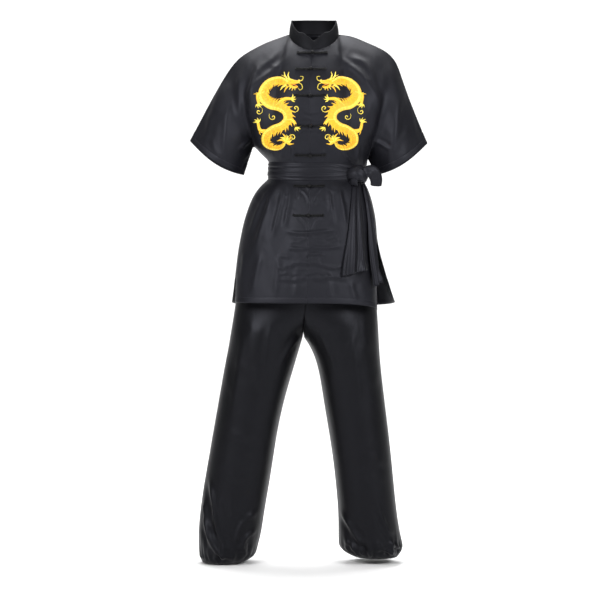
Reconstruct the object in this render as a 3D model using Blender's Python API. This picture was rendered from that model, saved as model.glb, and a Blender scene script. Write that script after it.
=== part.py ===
"""A black satin tai chi uniform in its worn, hollow form: a short-sleeved jacket with cut-on sleeves, stand
collar and seven frog fastenings, a sash tied at the left hip, and trousers gathered at the ankles.

Metres, +Z up. The front faces -Y, and the wearer's right is -X. The origin is the middle of the neck opening.
"""

import math
from collections import namedtuple

import bmesh
import bpy
import numpy as np
from mathutils import Vector
from mathutils.bvhtree import BVHTree

# Cloth
SATIN_WALL = 0.0018
TROUSER_WALL = 0.0018
COLLAR_WALL = 0.0024
SEAM_PULL = 0.0002
SEAM_STEP = 0.0003
LAID_GAP = 0.0005
MITRE_LIMIT = 0.3
MITRE_TURNS = 40
MITRE_PULL = 0.1
EDGE_ON = 0.5  # share of a normal along Y under which folds fade out
FAR = 0.5  # how far off a straight line to the cloth starts

FRONT, BACK = -1, 1
RIGHT, LEFT = -1, 1

# Neck opening
NECK_HALF_WIDTH = 0.071
NECK_FRONT_Y = 0.078
NECK_FRONT_Z = -0.050
NECK_BACK_Y = 0.066
NECK_BACK_Z = 0.012
NECK_SIDE_Z = 0.004
NECK_DIP = 1.2

# The line down the middle of the jacket, which drifts to the wearer's right
Middle = namedtuple("Middle", "z x")
MIDDLE_LINE = (
    Middle(-0.748, -0.0202),
    Middle(-0.510, -0.0165),
    Middle(-0.340, -0.0113),
    Middle(-0.110, -0.0100),
    Middle(-0.050, -0.0040),
)

# Depth of the jacket's middle line, in front of and behind the neck's centre
Profile = namedtuple("Profile", "z y")
CHEST_PROFILE = (
    Profile(-0.318, 0.126),
    Profile(-0.200, 0.131),
    Profile(-0.120, 0.116),
    Profile(-0.050, 0.078),
)
SPINE_PROFILE = (
    Profile(-0.318, 0.118),
    Profile(-0.200, 0.126),
    Profile(-0.080, 0.108),
    Profile(0.012, 0.066),
)

# Body sections from the slit tops up to the armpits, shared by the fronts and the back at the side seams
Body = namedtuple("Body", "z_front z_back z_right z_left x_right x_left front back")
BODY = (
    Body(-0.5650, -0.5650, -0.5630, -0.5680, -0.2055, 0.1760, 0.1490, 0.1460),
    Body(-0.5260, -0.5260, -0.5250, -0.5280, -0.1980, 0.1750, 0.1450, 0.1420),
    Body(-0.4880, -0.4880, -0.4860, -0.4900, -0.1860, 0.1690, 0.1380, 0.1350),
    Body(-0.4540, -0.4500, -0.4480, -0.4530, -0.1710, 0.1600, 0.1290, 0.1250),
    Body(-0.4280, -0.4200, -0.4190, -0.4270, -0.1500, 0.1510, 0.1190, 0.1140),
    Body(-0.4135, -0.4010, -0.4010, -0.4100, -0.1270, 0.1410, 0.1100, 0.1050),
    Body(-0.4020, -0.3900, -0.3900, -0.4040, -0.1255, 0.1405, 0.1090, 0.1040),
    Body(-0.3880, -0.3760, -0.3760, -0.3960, -0.1250, 0.1400, 0.1085, 0.1035),
    Body(-0.3740, -0.3620, -0.3620, -0.3880, -0.1250, 0.1400, 0.1090, 0.1040),
    Body(-0.3615, -0.3500, -0.3500, -0.3800, -0.1255, 0.1405, 0.1100, 0.1050),
    Body(-0.3400, -0.3320, -0.3300, -0.3610, -0.1490, 0.1490, 0.1230, 0.1150),
    Body(-0.3180, -0.3180, -0.3050, -0.3420, -0.1690, 0.1500, 0.1260, 0.1180),
)
SASH_FIRST, SASH_LAST = 5, 9

# Skirt sections below the slits, hem first, where each panel hangs by itself
Skirt = namedtuple("Skirt", "z_mid z_right z_left x_right x_left depth edge")
FRONT_SKIRT = (
    Skirt(-0.748, -0.745, -0.766, -0.2180, 0.1740, 0.158, 0.066),
    Skirt(-0.705, -0.703, -0.716, -0.2175, 0.1730, 0.157, 0.052),
    Skirt(-0.660, -0.660, -0.665, -0.2170, 0.1730, 0.155, 0.036),
    Skirt(-0.613, -0.612, -0.616, -0.2140, 0.1740, 0.153, 0.016),
)
BACK_SKIRT = (
    Skirt(-0.756, -0.745, -0.745, -0.2320, 0.2300, 0.156, 0.070),
    Skirt(-0.708, -0.703, -0.703, -0.2260, 0.2150, 0.155, 0.058),
    Skirt(-0.660, -0.660, -0.660, -0.2210, 0.2020, 0.154, 0.042),
    Skirt(-0.613, -0.612, -0.614, -0.2150, 0.1870, 0.151, 0.018),
)
SECTION_ACROSS, SECTION_DEPTH = 0.86, 0.80

# Cut-on sleeves, x measured outwards from the middle
Arm = namedtuple("Arm", "shoulder overarm tip underarm sag")
ARMS = {
    RIGHT: Arm(
        ((0.0913, -0.0034), (0.1308, -0.0171), (0.1620, -0.0328), (0.2013, -0.0543), (0.2170, -0.0680)),
        ((0.2408, -0.0997), (0.2800, -0.1663), (0.3192, -0.2408)),
        (0.3470, -0.2935),
        (0.1970, -0.3890),
        0.014,
    ),
    LEFT: Arm(
        ((0.1050, 0.0006), (0.1445, -0.0171), (0.1876, -0.0347), (0.2150, -0.0504), (0.2307, -0.0720)),
        ((0.2503, -0.1310), (0.2702, -0.1859), (0.2937, -0.2450)),
        (0.3172, -0.3004),
        (0.1740, -0.3890),
        0.012,
    ),
}
ARMHOLE_DEPTH = {FRONT: 0.078, BACK: 0.082}
HEM_DEPTH = {FRONT: 0.058, BACK: 0.062}
HEM_SKEW = 0.8
HEM_FULLNESS = 0.8
ARMHOLE_FULLNESS = 0.75

HALF_COLUMNS = 10
YOKE_ROWS = 9
SLEEVE_COLUMNS = 6

# Folds of the jacket, as soft troughs (depth below zero) and ridges; x outwards from the middle
Fold = namedtuple("Fold", "face side x0 z0 xm zm x1 z1 width depth")
JACKET_FOLDS = (
    Fold(FRONT, RIGHT, 0.075, -0.040, 0.175, -0.100, 0.172, -0.290, 0.016, 0.006),
    Fold(FRONT, RIGHT, 0.222, -0.085, 0.215, -0.160, 0.190, -0.270, 0.020, -0.013),
    Fold(FRONT, RIGHT, 0.262, -0.150, 0.262, -0.220, 0.250, -0.340, 0.016, 0.006),
    Fold(FRONT, LEFT, 0.070, -0.036, 0.150, -0.085, 0.168, -0.300, 0.016, 0.006),
    Fold(FRONT, LEFT, 0.205, -0.080, 0.190, -0.150, 0.178, -0.290, 0.018, -0.012),
    Fold(FRONT, LEFT, 0.245, -0.150, 0.232, -0.230, 0.222, -0.350, 0.016, 0.006),
    Fold(FRONT, LEFT, 0.105, -0.300, 0.115, -0.330, 0.120, -0.360, 0.014, -0.005),
    Fold(FRONT, RIGHT, 0.100, -0.425, 0.125, -0.520, 0.165, -0.640, 0.018, 0.006),
    Fold(FRONT, RIGHT, 0.055, -0.420, 0.075, -0.500, 0.080, -0.600, 0.016, -0.005),
    Fold(FRONT, RIGHT, 0.000, -0.553, 0.040, -0.553, 0.080, -0.556, 0.013, -0.006),
    Fold(FRONT, LEFT, 0.000, -0.553, 0.040, -0.553, 0.080, -0.552, 0.013, -0.006),
    Fold(FRONT, LEFT, 0.060, -0.430, 0.078, -0.520, 0.105, -0.640, 0.018, 0.006),
    Fold(BACK, RIGHT, 0.060, -0.050, 0.150, -0.130, 0.165, -0.290, 0.018, 0.006),
    Fold(BACK, LEFT, 0.060, -0.050, 0.145, -0.140, 0.160, -0.300, 0.018, 0.006),
    Fold(BACK, RIGHT, 0.220, -0.090, 0.212, -0.170, 0.190, -0.280, 0.020, -0.011),
    Fold(BACK, LEFT, 0.205, -0.090, 0.192, -0.170, 0.178, -0.290, 0.020, -0.011),
    Fold(BACK, RIGHT, 0.045, -0.415, 0.060, -0.520, 0.070, -0.680, 0.018, -0.007),
    Fold(BACK, RIGHT, 0.105, -0.415, 0.130, -0.540, 0.150, -0.700, 0.018, 0.007),
    Fold(BACK, LEFT, 0.030, -0.415, 0.040, -0.530, 0.045, -0.700, 0.018, 0.006),
    Fold(BACK, LEFT, 0.090, -0.415, 0.120, -0.540, 0.150, -0.700, 0.018, -0.007),
)

# Collar
COLLAR_TOP_HALF_WIDTH = 0.0645
COLLAR_TOP_FRONT = (0.071, -0.0190)
COLLAR_TOP_SIDE_Z = 0.0440
COLLAR_TOP_BACK = (0.060, 0.0530)
COLLAR_ROWS = 3
COLLAR_OPENING = 0.0006
COLLAR_DIP = 1.3
COLLAR_BOW = 0.0015

WAISTBAND_ROWS = 4
WAISTBAND_WALL = 0.003

# Sash: the lift of each pleat row over the jacket, bottom to top
SASH_LIFT = (0.0028, 0.0062, 0.0034, 0.0052, 0.0026)
PLEAT_CHANGE = 0.15
PLEAT_WAVES = 2.5
KNOT_CENTRE = (0.1200, -0.0850, -0.3940)
KNOT_ALONG = (0.71, 0.70, 0.0)
KNOT_OUT = (0.70, -0.71, 0.0)
KNOT_RADII = (0.033, 0.022, 0.027)
KNOT_BACK = 0.3
KNOT_FURROWS = 0.0035
WAIST_RADIUS = 0.13
KNOT_GAP = 0.0012
PROBE = 0.1
Tail = namedtuple("Tail", "z inner outer lift wave")
TAIL_FRONT = (
    Tail(-0.4180, 0.1060, 0.1220, 0.0030, 0.0),
    Tail(-0.4450, 0.1020, 0.1260, 0.0030, 0.2),
    Tail(-0.4900, 0.0980, 0.1290, 0.0035, 0.6),
    Tail(-0.5400, 0.0940, 0.1330, 0.0040, 0.9),
    Tail(-0.6000, 0.0880, 0.1370, 0.0050, 1.0),
    Tail(-0.6500, 0.0790, 0.1400, 0.0060, 1.0),
    Tail(-0.6750, 0.0780, 0.1410, 0.0060, 1.0),
)
TAIL_SIDE = (
    Tail(-0.4200, 0.0640, 0.0500, 0.0019, 0.0),
    Tail(-0.4500, 0.0760, 0.0580, 0.0022, 0.1),
    Tail(-0.5200, 0.0900, 0.0660, 0.0022, 0.5),
    Tail(-0.5900, 0.1000, 0.0720, 0.0050, 1.0),
    Tail(-0.6500, 0.1030, 0.0760, 0.0060, 1.0),
    Tail(-0.7050, 0.1050, 0.0780, 0.0070, 1.0),
)
TAIL_WALL = 0.0024
TAIL_WAVE = 0.0040
Loop = namedtuple("Loop", "x y z across thick")
SASH_LOOP = (
    Loop(0.1494, -0.0782, -0.3850, 0.009, 0.006),
    Loop(0.1570, -0.0785, -0.3890, 0.013, 0.008),
    Loop(0.1650, -0.0780, -0.3990, 0.015, 0.009),
    Loop(0.1710, -0.0770, -0.4120, 0.014, 0.008),
    Loop(0.1755, -0.0760, -0.4240, 0.010, 0.006),
)
LOOP_SIDES = 12

# Frogs
FROG_HEIGHTS = (-0.0600, -0.1080, -0.1820, -0.2644, -0.3430, -0.4294, -0.5103)
FROG_INNER, FROG_OUTER = 0.0064, 0.042
FROG_HEIGHT = 0.006
FROG_THICKNESS = 0.0026
FROG_STEPS = 6
FROG_KNOT_RADIUS = 0.0055
FROG_EDGE = 0.6  # the strap's thickness at its edges, as a share
KNOT_ASIDE = 0.002  # the cloth is felt for this far beside the middle line
KNOT_STEP = 0.0001

# Trousers: outer and inner outline of each leg, x signed
Leg = namedtuple("Leg", "z right_out right_in left_out left_in front back")
CROTCH_Z = -0.842
RISE_CURVE = 0.090
RISE_POWER = 0.6
WAIST_BLEND = 0.080  # height over which the legs take up the waistband's slant
WAIST_LEVEL = -0.405
LEGS = (
    Leg(-0.4300, -0.1400, 0.0000, 0.1390, 0.0000, 0.1100, 0.1060),
    Leg(-0.4700, -0.1620, -0.0060, 0.1460, -0.0060, 0.1140, 0.1150),
    Leg(-0.5200, -0.1800, -0.0100, 0.1530, -0.0100, 0.1170, 0.1240),
    Leg(-0.5700, -0.1930, -0.0130, 0.1600, -0.0130, 0.1180, 0.1280),
    Leg(-0.6300, -0.2040, -0.0170, 0.1660, -0.0170, 0.1160, 0.1280),
    Leg(-0.7000, -0.2140, -0.0200, 0.1720, -0.0200, 0.1120, 0.1260),
    Leg(-0.7600, -0.2212, -0.0250, 0.1760, -0.0250, 0.1100, 0.1240),
    Leg(-0.8000, -0.2275, -0.0280, 0.1785, -0.0280, 0.1090, 0.1230),
    Leg(-0.8260, -0.2320, -0.0300, 0.1800, -0.0300, 0.1080, 0.1220),
    Leg(-0.8420, -0.2346, -0.0310, 0.1810, -0.0290, 0.1080, 0.1200),
    Leg(-0.8760, -0.2400, -0.0420, 0.1825, -0.0048, 0.1060, 0.1150),
    Leg(-0.9350, -0.2520, -0.0590, 0.1870, 0.0148, 0.1000, 0.1070),
    Leg(-1.0170, -0.2660, -0.0840, 0.1970, 0.0266, 0.0950, 0.0980),
    Leg(-1.1070, -0.2820, -0.1035, 0.2080, 0.0423, 0.0920, 0.0920),
    Leg(-1.1860, -0.2957, -0.1148, 0.2170, 0.0540, 0.0900, 0.0910),
    Leg(-1.2600, -0.3090, -0.1266, 0.2240, 0.0620, 0.0880, 0.0930),
    Leg(-1.3320, -0.3190, -0.1394, 0.2313, 0.0683, 0.0870, 0.0950),
    Leg(-1.3890, -0.3237, -0.1470, 0.2400, 0.0683, 0.0860, 0.0940),
    Leg(-1.4250, -0.3225, -0.1570, 0.2480, 0.0700, 0.0840, 0.0900),
)
LEG_COLUMNS = 9
LEG_ROUND = 0.9
# The cloth rolls in under the ankle: the share of the leg's width left, and the height over the lowest point
Roll = namedtuple("Roll", "share height")
HEM_ROLL = (Roll(0.92, 0.030), Roll(0.72, 0.014), Roll(0.46, 0.004), Roll(0.16, 0.000), Roll(0.0, 0.009))
HEM_LOWEST = {RIGHT: -1.4745, LEFT: -1.4600}
ANKLE_CENTRE = {RIGHT: (-0.264, 0.012), LEFT: (0.182, 0.012)}
ANKLE_HALF = (0.043, 0.050)
GATHER_DEPTH = 0.0022
GATHER_LEAST = 0.4
CUFF_WALL = 0.0025
CUFF_HEIGHT = 0.012
LEG_FOLDS = (
    Fold(FRONT, RIGHT, 0.318, -1.260, 0.300, -1.380, 0.245, -1.425, 0.013, -0.006),
    Fold(FRONT, RIGHT, 0.322, -1.330, 0.300, -1.420, 0.270, -1.440, 0.012, 0.006),
    Fold(FRONT, RIGHT, 0.175, -1.350, 0.200, -1.400, 0.230, -1.440, 0.012, 0.004),
    Fold(FRONT, LEFT, 0.065, -1.320, 0.110, -1.400, 0.150, -1.440, 0.013, -0.005),
    Fold(FRONT, LEFT, 0.245, -1.400, 0.220, -1.415, 0.190, -1.440, 0.012, 0.005),
    Fold(FRONT, RIGHT, 0.020, -0.830, 0.080, -0.850, 0.150, -0.800, 0.020, -0.004),
    Fold(FRONT, LEFT, 0.010, -0.830, 0.060, -0.870, 0.120, -0.820, 0.020, -0.004),
    Fold(BACK, RIGHT, 0.060, -0.880, 0.120, -0.920, 0.190, -0.900, 0.018, -0.005),
    Fold(BACK, LEFT, 0.020, -0.880, 0.080, -0.930, 0.150, -0.900, 0.018, -0.005),
    Fold(BACK, RIGHT, 0.120, -1.150, 0.190, -1.180, 0.270, -1.150, 0.018, -0.005),
    Fold(BACK, LEFT, 0.060, -1.150, 0.120, -1.190, 0.190, -1.160, 0.018, -0.005),
    Fold(BACK, RIGHT, 0.300, -1.300, 0.250, -1.400, 0.200, -1.440, 0.014, 0.005),
    Fold(BACK, LEFT, 0.220, -1.300, 0.170, -1.400, 0.120, -1.440, 0.014, 0.005),
)

# Finishes: linear colours and roughness
SATIN = (0.022, 0.022, 0.028)
COLLAR_SATIN = (0.011, 0.011, 0.012)
SASH_SATIN = (0.033, 0.033, 0.038)
TROUSER_SATIN = (0.014, 0.014, 0.016)
CORD_SATIN = (0.006, 0.006, 0.007)
SATIN_ROUGHNESS = 0.35
COLLAR_ROUGHNESS = 0.6
SASH_ROUGHNESS = 0.45
TROUSER_ROUGHNESS = 0.6
CORD_ROUGHNESS = 0.7


def curve_at(table, x):
    """Value at x of the smooth curve through a short table of (x, value) rows, x rising."""
    xs = np.array([row[0] for row in table])
    ys = np.array([row[1] for row in table])
    steps = np.diff(xs)
    slopes = np.diff(ys) / steps
    tangents = np.concatenate(([slopes[0]], (slopes[:-1] + slopes[1:]) / 2, [slopes[-1]]))
    i = int(np.clip(np.searchsorted(xs, x) - 1, 0, len(xs) - 2))
    t = float(np.clip((x - xs[i]) / steps[i], 0.0, 1.0))
    start = (1 + 2 * t) * (1 - t) ** 2 * ys[i] + t * (1 - t) ** 2 * steps[i] * tangents[i]
    return start + t * t * (3 - 2 * t) * ys[i + 1] + t * t * (t - 1) * steps[i] * tangents[i + 1]


def along(points, share):
    """Point at a share (0 to 1) of the length of a line through points."""
    points = np.asarray(points, float)
    lengths = np.concatenate(([0.0], np.cumsum(np.linalg.norm(np.diff(points, axis=0), axis=1))))
    return np.array([np.interp(share * lengths[-1], lengths, points[:, k]) for k in range(points.shape[1])])


def unit(vector):
    return vector / max(np.linalg.norm(vector), 1e-12)


def key_of(point):
    return tuple(np.round(point, 6))


def section_point(face, x_mid, z_mid, x_side, z_side, depth, edge, q):
    """Point of a body section; q runs from the middle line (0) to the side edge (1)."""
    x = x_mid + (x_side - x_mid) * math.sin(math.pi / 2 * q) ** SECTION_ACROSS
    y = edge + (depth - edge) * max(math.cos(math.pi / 2 * q), 0.0) ** SECTION_DEPTH
    return np.array([x, face * y, z_mid + (z_side - z_mid) * q**2])


def body_rows(face, side):
    """The sections of one quarter, hem first, as arguments of section_point."""
    rows = []
    for s in FRONT_SKIRT if face == FRONT else BACK_SKIRT:
        x, z = (s.x_right, s.z_right) if side == RIGHT else (s.x_left, s.z_left)
        rows.append((curve_at(MIDDLE_LINE, s.z_mid), s.z_mid, x, z, s.depth, s.edge))
    for b in BODY:
        x, z = (b.x_right, b.z_right) if side == RIGHT else (b.x_left, b.z_left)
        z_mid, depth = (b.z_front, b.front) if face == FRONT else (b.z_back, b.back)
        rows.append((curve_at(MIDDLE_LINE, z_mid), z_mid, x, z, depth, 0.0))
    return rows


SLIT_ROW = len(FRONT_SKIRT)
ARMPIT_ROW = SLIT_ROW + len(BODY) - 1
SASH_ROWS = range(SLIT_ROW + SASH_FIRST, SLIT_ROW + SASH_LAST + 1)


def coons(bottom, top, inner, outer, u, v):
    """Point of the patch between four edges; u runs from inner to outer and v from bottom to top."""
    corners = (
        (1 - u) * (1 - v) * bottom(0.0) + u * (1 - v) * bottom(1.0)
        + (1 - u) * v * top(0.0) + u * v * top(1.0)
    )
    return (1 - v) * bottom(u) + v * top(u) + (1 - u) * inner(v) + u * outer(v) - corners


def neck_point(face, side, angle):
    """Point of the neckline; angle 0 is on the middle line and a right angle is at the side."""
    y, z_mid = (NECK_FRONT_Y, NECK_FRONT_Z) if face == FRONT else (NECK_BACK_Y, NECK_BACK_Z)
    x_mid = MIDDLE_LINE[-1].x
    x = x_mid + (side * NECK_HALF_WIDTH - x_mid) * math.sin(angle)
    share = max(math.cos(angle), 0.0)
    return np.array([x, face * y * share, NECK_SIDE_Z + (z_mid - NECK_SIDE_Z) * share**NECK_DIP])


def jacket_quarter(face, side):
    """Outer points of a quarter of the jacket, keyed (row, column) from the hem and the middle line."""
    rows = body_rows(face, side)
    points = {}
    for i, row in enumerate(rows):
        for j in range(HALF_COLUMNS + 1):
            points[i, j] = section_point(face, *row, j / HALF_COLUMNS)

    arm = ARMS[side]
    armpit = points[ARMPIT_ROW, HALF_COLUMNS]
    shoulder = [(NECK_HALF_WIDTH, NECK_SIDE_Z), *arm.shoulder]
    overarm = [arm.shoulder[-1], *arm.overarm, arm.tip]
    profile = CHEST_PROFILE if face == FRONT else SPINE_PROFILE
    z_low = rows[-1][1]

    def chest_line(t):
        z = z_low + (profile[-1].z - z_low) * t
        return np.array([curve_at(MIDDLE_LINE, z), face * curve_at(profile, z), z])

    def neck_and_shoulder(q):
        if q <= 0.5:
            return neck_point(face, side, math.pi * q)
        x, z = along(shoulder, 2 * q - 1)
        return np.array([side * x, 0.0, z])

    def armpit_line(q):
        return section_point(face, *rows[-1], q)

    def armhole(t):
        x, z = np.array([side * armpit[0], armpit[2]]) * (1 - t) + np.array(arm.shoulder[-1]) * t
        return np.array([side * x, face * ARMHOLE_DEPTH[face] * math.sin(math.pi * t) ** ARMHOLE_FULLNESS, z])

    def underarm(u):
        x, z = np.array([side * armpit[0], armpit[2]]) * (1 - u) + np.array(arm.underarm) * u
        return np.array([side * x, 0.0, z])

    def overarm_line(u):
        x, z = along(overarm, u)
        return np.array([side * x, 0.0, z])

    def sleeve_hem(v):
        low, tip = np.array(arm.underarm), np.array(arm.tip)
        out = unit(np.array([tip[1] - low[1], low[0] - tip[0]]))
        x, z = low * (1 - v) + tip * v + out * arm.sag * math.sin(math.pi * v)
        depth = HEM_DEPTH[face] * math.sin(math.pi * v**HEM_SKEW) ** HEM_FULLNESS
        return np.array([side * x, face * depth, z])

    for i in range(YOKE_ROWS + 1):
        t = i / YOKE_ROWS
        for j in range(HALF_COLUMNS + 1):
            if i:
                q = j / HALF_COLUMNS
                points[ARMPIT_ROW + i, j] = coons(armpit_line, neck_and_shoulder, chest_line, armhole, q, t)
        for k in range(1, SLEEVE_COLUMNS + 1):
            column = HALF_COLUMNS + k
            u = k / SLEEVE_COLUMNS
            points[ARMPIT_ROW + i, column] = coons(underarm, overarm_line, armhole, sleeve_hem, u, t)
    return points


def quarter_cells(points):
    """Corner keys of every cell whose four corners are in a grid of points."""
    cells = []
    for i, j in points:
        corners = [(i, j), (i + 1, j), (i + 1, j + 1), (i, j + 1)]
        if all(corner in points for corner in corners):
            cells.append(corners)
    return cells


def shared_normals(quarters):
    """Outward normals of all quarters together, keyed by place, so that walls agree at every seam."""
    total = {}
    for (face, side), points in quarters.items():
        for cell in quarter_cells(points):
            a, b, c, d = (points[corner] for corner in cell)
            normal = face * side * np.cross(c - a, d - b)
            for corner in cell:
                key = key_of(points[corner])
                total[key] = total.get(key, 0.0) + normal
    return {key: unit(value) for key, value in total.items()}


def mitred_normals(quarters, normals):
    """Shared normals turned to face all cells round a point, longer at bends to keep the thickness."""
    around = {key: [] for key in normals}
    for (face, side), points in quarters.items():
        for cell in quarter_cells(points):
            a, b, c, d = (points[corner] for corner in cell)
            for corner in cell:
                around[key_of(points[corner])].append(unit(face * side * np.cross(c - a, d - b)))
    mitred = {}
    for key, normal in normals.items():
        faces = np.array(around[key])
        for _ in range(MITRE_TURNS):
            normal = unit(normal + MITRE_PULL * faces[int(np.argmin(faces @ normal))])
        mitred[key] = normal / max(float((faces @ normal).min()), MITRE_LIMIT)
    return mitred


def fold_height(folds, face, side, point):
    """Height of the folds at a point, from its distance to each fold's curve seen from the front."""
    height = 0.0
    place = np.array([side * point[0], point[2]])
    for fold in folds:
        if (fold.face, fold.side) != (face, side):
            continue
        t = np.linspace(0.0, 1.0, 25)[:, None]
        ends = np.array([[fold.x0, fold.z0], [fold.xm, fold.zm], [fold.x1, fold.z1]])
        line = (1 - t) ** 2 * ends[0] + 2 * t * (1 - t) * ends[1] + t**2 * ends[2]
        gap = np.linalg.norm(line - place, axis=1).min()
        height += fold.depth * math.exp(-((gap / fold.width) ** 2))
    return height


def crease(quarters, folds, last_row):
    """Moves the outer points by their folds, fading out where the cloth turns edge-on at a seam."""
    normals = shared_normals(quarters)
    moved = {}
    for (face, side), points in quarters.items():
        moved[face, side] = {}
        for key, point in points.items():
            normal = normals[key_of(point)]
            fade = min(1.0, abs(normal[1]) / EDGE_ON) ** 2 if key[0] <= last_row else 0.0
            moved[face, side][key] = point + normal * fade * fold_height(folds, face, side, point)
    for face in (FRONT, BACK):
        for key in moved[face, RIGHT]:
            if key[1] == 0 and key_of(quarters[face, RIGHT][key]) == key_of(quarters[face, LEFT][key]):
                middle = (moved[face, RIGHT][key] + moved[face, LEFT][key]) / 2
                moved[face, RIGHT][key] = moved[face, LEFT][key] = middle
    return moved


def face_outwards(mesh):
    bm = bmesh.new()
    bm.from_mesh(mesh)
    bmesh.ops.recalc_face_normals(bm, faces=bm.faces)
    bm.to_mesh(mesh)
    bm.free()


def mesh_object(name, vertices, faces, material, collection):
    """One named object from a closed loft, with its faces turned outwards."""
    mesh = bpy.data.meshes.new(name)
    mesh.from_pydata([tuple(v) for v in vertices], [], [list(face) for face in faces])
    face_outwards(mesh)
    mesh.materials.append(material)
    mesh.shade_smooth()
    mesh.set_sharp_from_angle(angle=math.radians(40))
    obj = bpy.data.objects.new(name, mesh)
    collection.objects.link(obj)
    return obj


def split(ring, vertices):
    """Two triangles from a cell, along its diagonal that lies further out, so that laid pieces match."""
    a, b, c, d = ring
    across = np.hypot(*((vertices[a] + vertices[c])[:2] / 2))
    other = np.hypot(*((vertices[b] + vertices[d])[:2] / 2))
    return ([a, b, c], [a, c, d]) if across > other else ([a, b, d], [b, c, d])


def wall(name, outer, inner, cells, material, collection):
    """A closed wall between two point grids with the same keys, rimmed round every free edge."""
    keys = list(outer)
    place = {key: n for n, key in enumerate(keys)}
    count = len(keys)
    vertices = [outer[key] for key in keys] + [inner[key] for key in keys]
    faces = []
    edges = {}
    for cell in cells:
        ring = [place[key] for key in cell]
        faces.extend(split(ring, vertices))
        faces.extend(reversed(part) for part in split([n + count for n in ring], vertices))
        for a, b in zip(ring, ring[1:] + ring[:1]):
            edges[frozenset((a, b))] = None if frozenset((a, b)) in edges else (a, b)
    for edge in edges.values():
        if edge:
            a, b = edge
            faces.append([b, a, a + count, b + count])
    return mesh_object(name, vertices, faces, material, collection)


def pulled(points):
    """Moves the points of a panel's edge in along the cloth, which parts it from its neighbour at a seam."""
    result = {}
    for (i, j), point in points.items():
        pull = np.zeros(3)
        for step in ((0, 1), (1, 0)):
            ahead = points.get((i + step[0], j + step[1]))
            behind = points.get((i - step[0], j - step[1]))
            if ahead is None and behind is not None:
                pull += unit(behind - point)
            elif behind is None and ahead is not None:
                pull += unit(ahead - point)
        inward = points.get((i + 1, j - 1 if j > 0 else j + 1))
        outward = (i - 1, j + 1 if j > 0 else j - 1)
        if not pull.any() and inward is not None and outward not in points:
            pull = unit(inward - point)
        result[i, j] = point + pull * SEAM_PULL
    return result


def panel(name, points, mitred, thickness, material, collection):
    """A cloth panel as a wall inside its outer points."""
    outer = pulled(points)
    inner = {key: outer[key] - mitred[key_of(points[key])] * thickness for key in points}
    return wall(name, outer, inner, quarter_cells(points), material, collection)


def material(name, colour, roughness):
    made = bpy.data.materials.new(name)
    made.use_nodes = True
    shader = made.node_tree.nodes["Principled BSDF"]
    shader.inputs["Base Color"].default_value = (*colour, 1.0)
    shader.inputs["Roughness"].default_value = roughness
    shader.inputs["Metallic"].default_value = 0.0
    made.diffuse_color = (*colour, 1.0)
    return made


def build_jacket(collection):
    """The two fronts and the back; returns their quarters and shared normals."""
    quarters = {(f, s): jacket_quarter(f, s) for f in (FRONT, BACK) for s in (RIGHT, LEFT)}
    quarters = crease(quarters, JACKET_FOLDS, ARMPIT_ROW + YOKE_ROWS)
    normals = shared_normals(quarters)
    mitred = mitred_normals(quarters, normals)
    for side, name in ((RIGHT, "jacket_front_right"), (LEFT, "jacket_front_left")):
        cloth = material(name, SATIN, SATIN_ROUGHNESS)
        panel(name, quarters[FRONT, side], mitred, SATIN_WALL, cloth, collection)
    back = {(i, j): point for (i, j), point in quarters[BACK, LEFT].items()}
    back.update({(i, -j): point for (i, j), point in quarters[BACK, RIGHT].items()})
    cloth = material("jacket_back", SATIN, SATIN_ROUGHNESS)
    panel("jacket_back", back, mitred, SATIN_WALL, cloth, collection)
    return quarters, normals


def build_collar(quarters, collection):
    """A stand collar from the neckline's points, open at the middle of the front."""
    top = ARMPIT_ROW + YOKE_ROWS
    half = HALF_COLUMNS // 2
    stations = [(FRONT, RIGHT, j) for j in range(half + 1)]
    stations += [(BACK, RIGHT, j) for j in range(half - 1, -1, -1)]
    stations += [(BACK, LEFT, j) for j in range(1, half + 1)]
    stations += [(FRONT, LEFT, j) for j in range(half - 1, -1, -1)]
    x_mid = MIDDLE_LINE[-1].x
    outer, inner = {}, {}
    for n, (face, side, j) in enumerate(stations):
        points = quarters[face, side]
        base = points[top, j] + unit(points[top, j] - points[top - 1, j]) * (SEAM_STEP - SEAM_PULL)
        angle = math.pi / 2 * j / half
        y, z_mid = COLLAR_TOP_FRONT if face == FRONT else COLLAR_TOP_BACK
        share = max(math.cos(angle), 0.0)
        rim = np.array([
            x_mid + (side * COLLAR_TOP_HALF_WIDTH - x_mid) * math.sin(angle),
            face * y * share,
            COLLAR_TOP_SIDE_Z + (z_mid - COLLAR_TOP_SIDE_Z) * share**COLLAR_DIP,
        ])
        inward = unit(np.array([x_mid - base[0], -base[1], 0.0]))
        for row in range(COLLAR_ROWS + 1):
            t = row / COLLAR_ROWS
            place = base * (1 - t) + rim * t - inward * COLLAR_BOW * math.sin(math.pi * t)
            if face == FRONT and j == 0:
                place = place + np.array([side * COLLAR_OPENING / 2, 0.0, 0.0])
            outer[row, n] = place
            inner[row, n] = place + inward * COLLAR_WALL
    cloth = material("collar", COLLAR_SATIN, COLLAR_ROUGHNESS)
    return wall("collar", outer, inner, quarter_cells(outer), cloth, collection)


def waist_ring(quarters, normals, rows):
    """Jacket points and normals round the waist at some rows, as a closed grid."""
    stations = [(FRONT, RIGHT, j) for j in range(HALF_COLUMNS, 0, -1)]
    stations += [(FRONT, LEFT, j) for j in range(HALF_COLUMNS)]
    stations += [(BACK, LEFT, j) for j in range(HALF_COLUMNS, 0, -1)]
    stations += [(BACK, RIGHT, j) for j in range(HALF_COLUMNS)]
    points, outward = {}, {}
    for r, row in enumerate(rows):
        for n, (face, side, j) in enumerate(stations):
            point = quarters[face, side][row, j]
            points[r, n] = point
            outward[r, n] = normals[key_of(point)]
    return points, outward, len(stations)


def ring_cells(rows, count):
    return [
        [(r, n), (r + 1, n), (r + 1, (n + 1) % count), (r, (n + 1) % count)]
        for r in range(rows - 1)
        for n in range(count)
    ]


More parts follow.
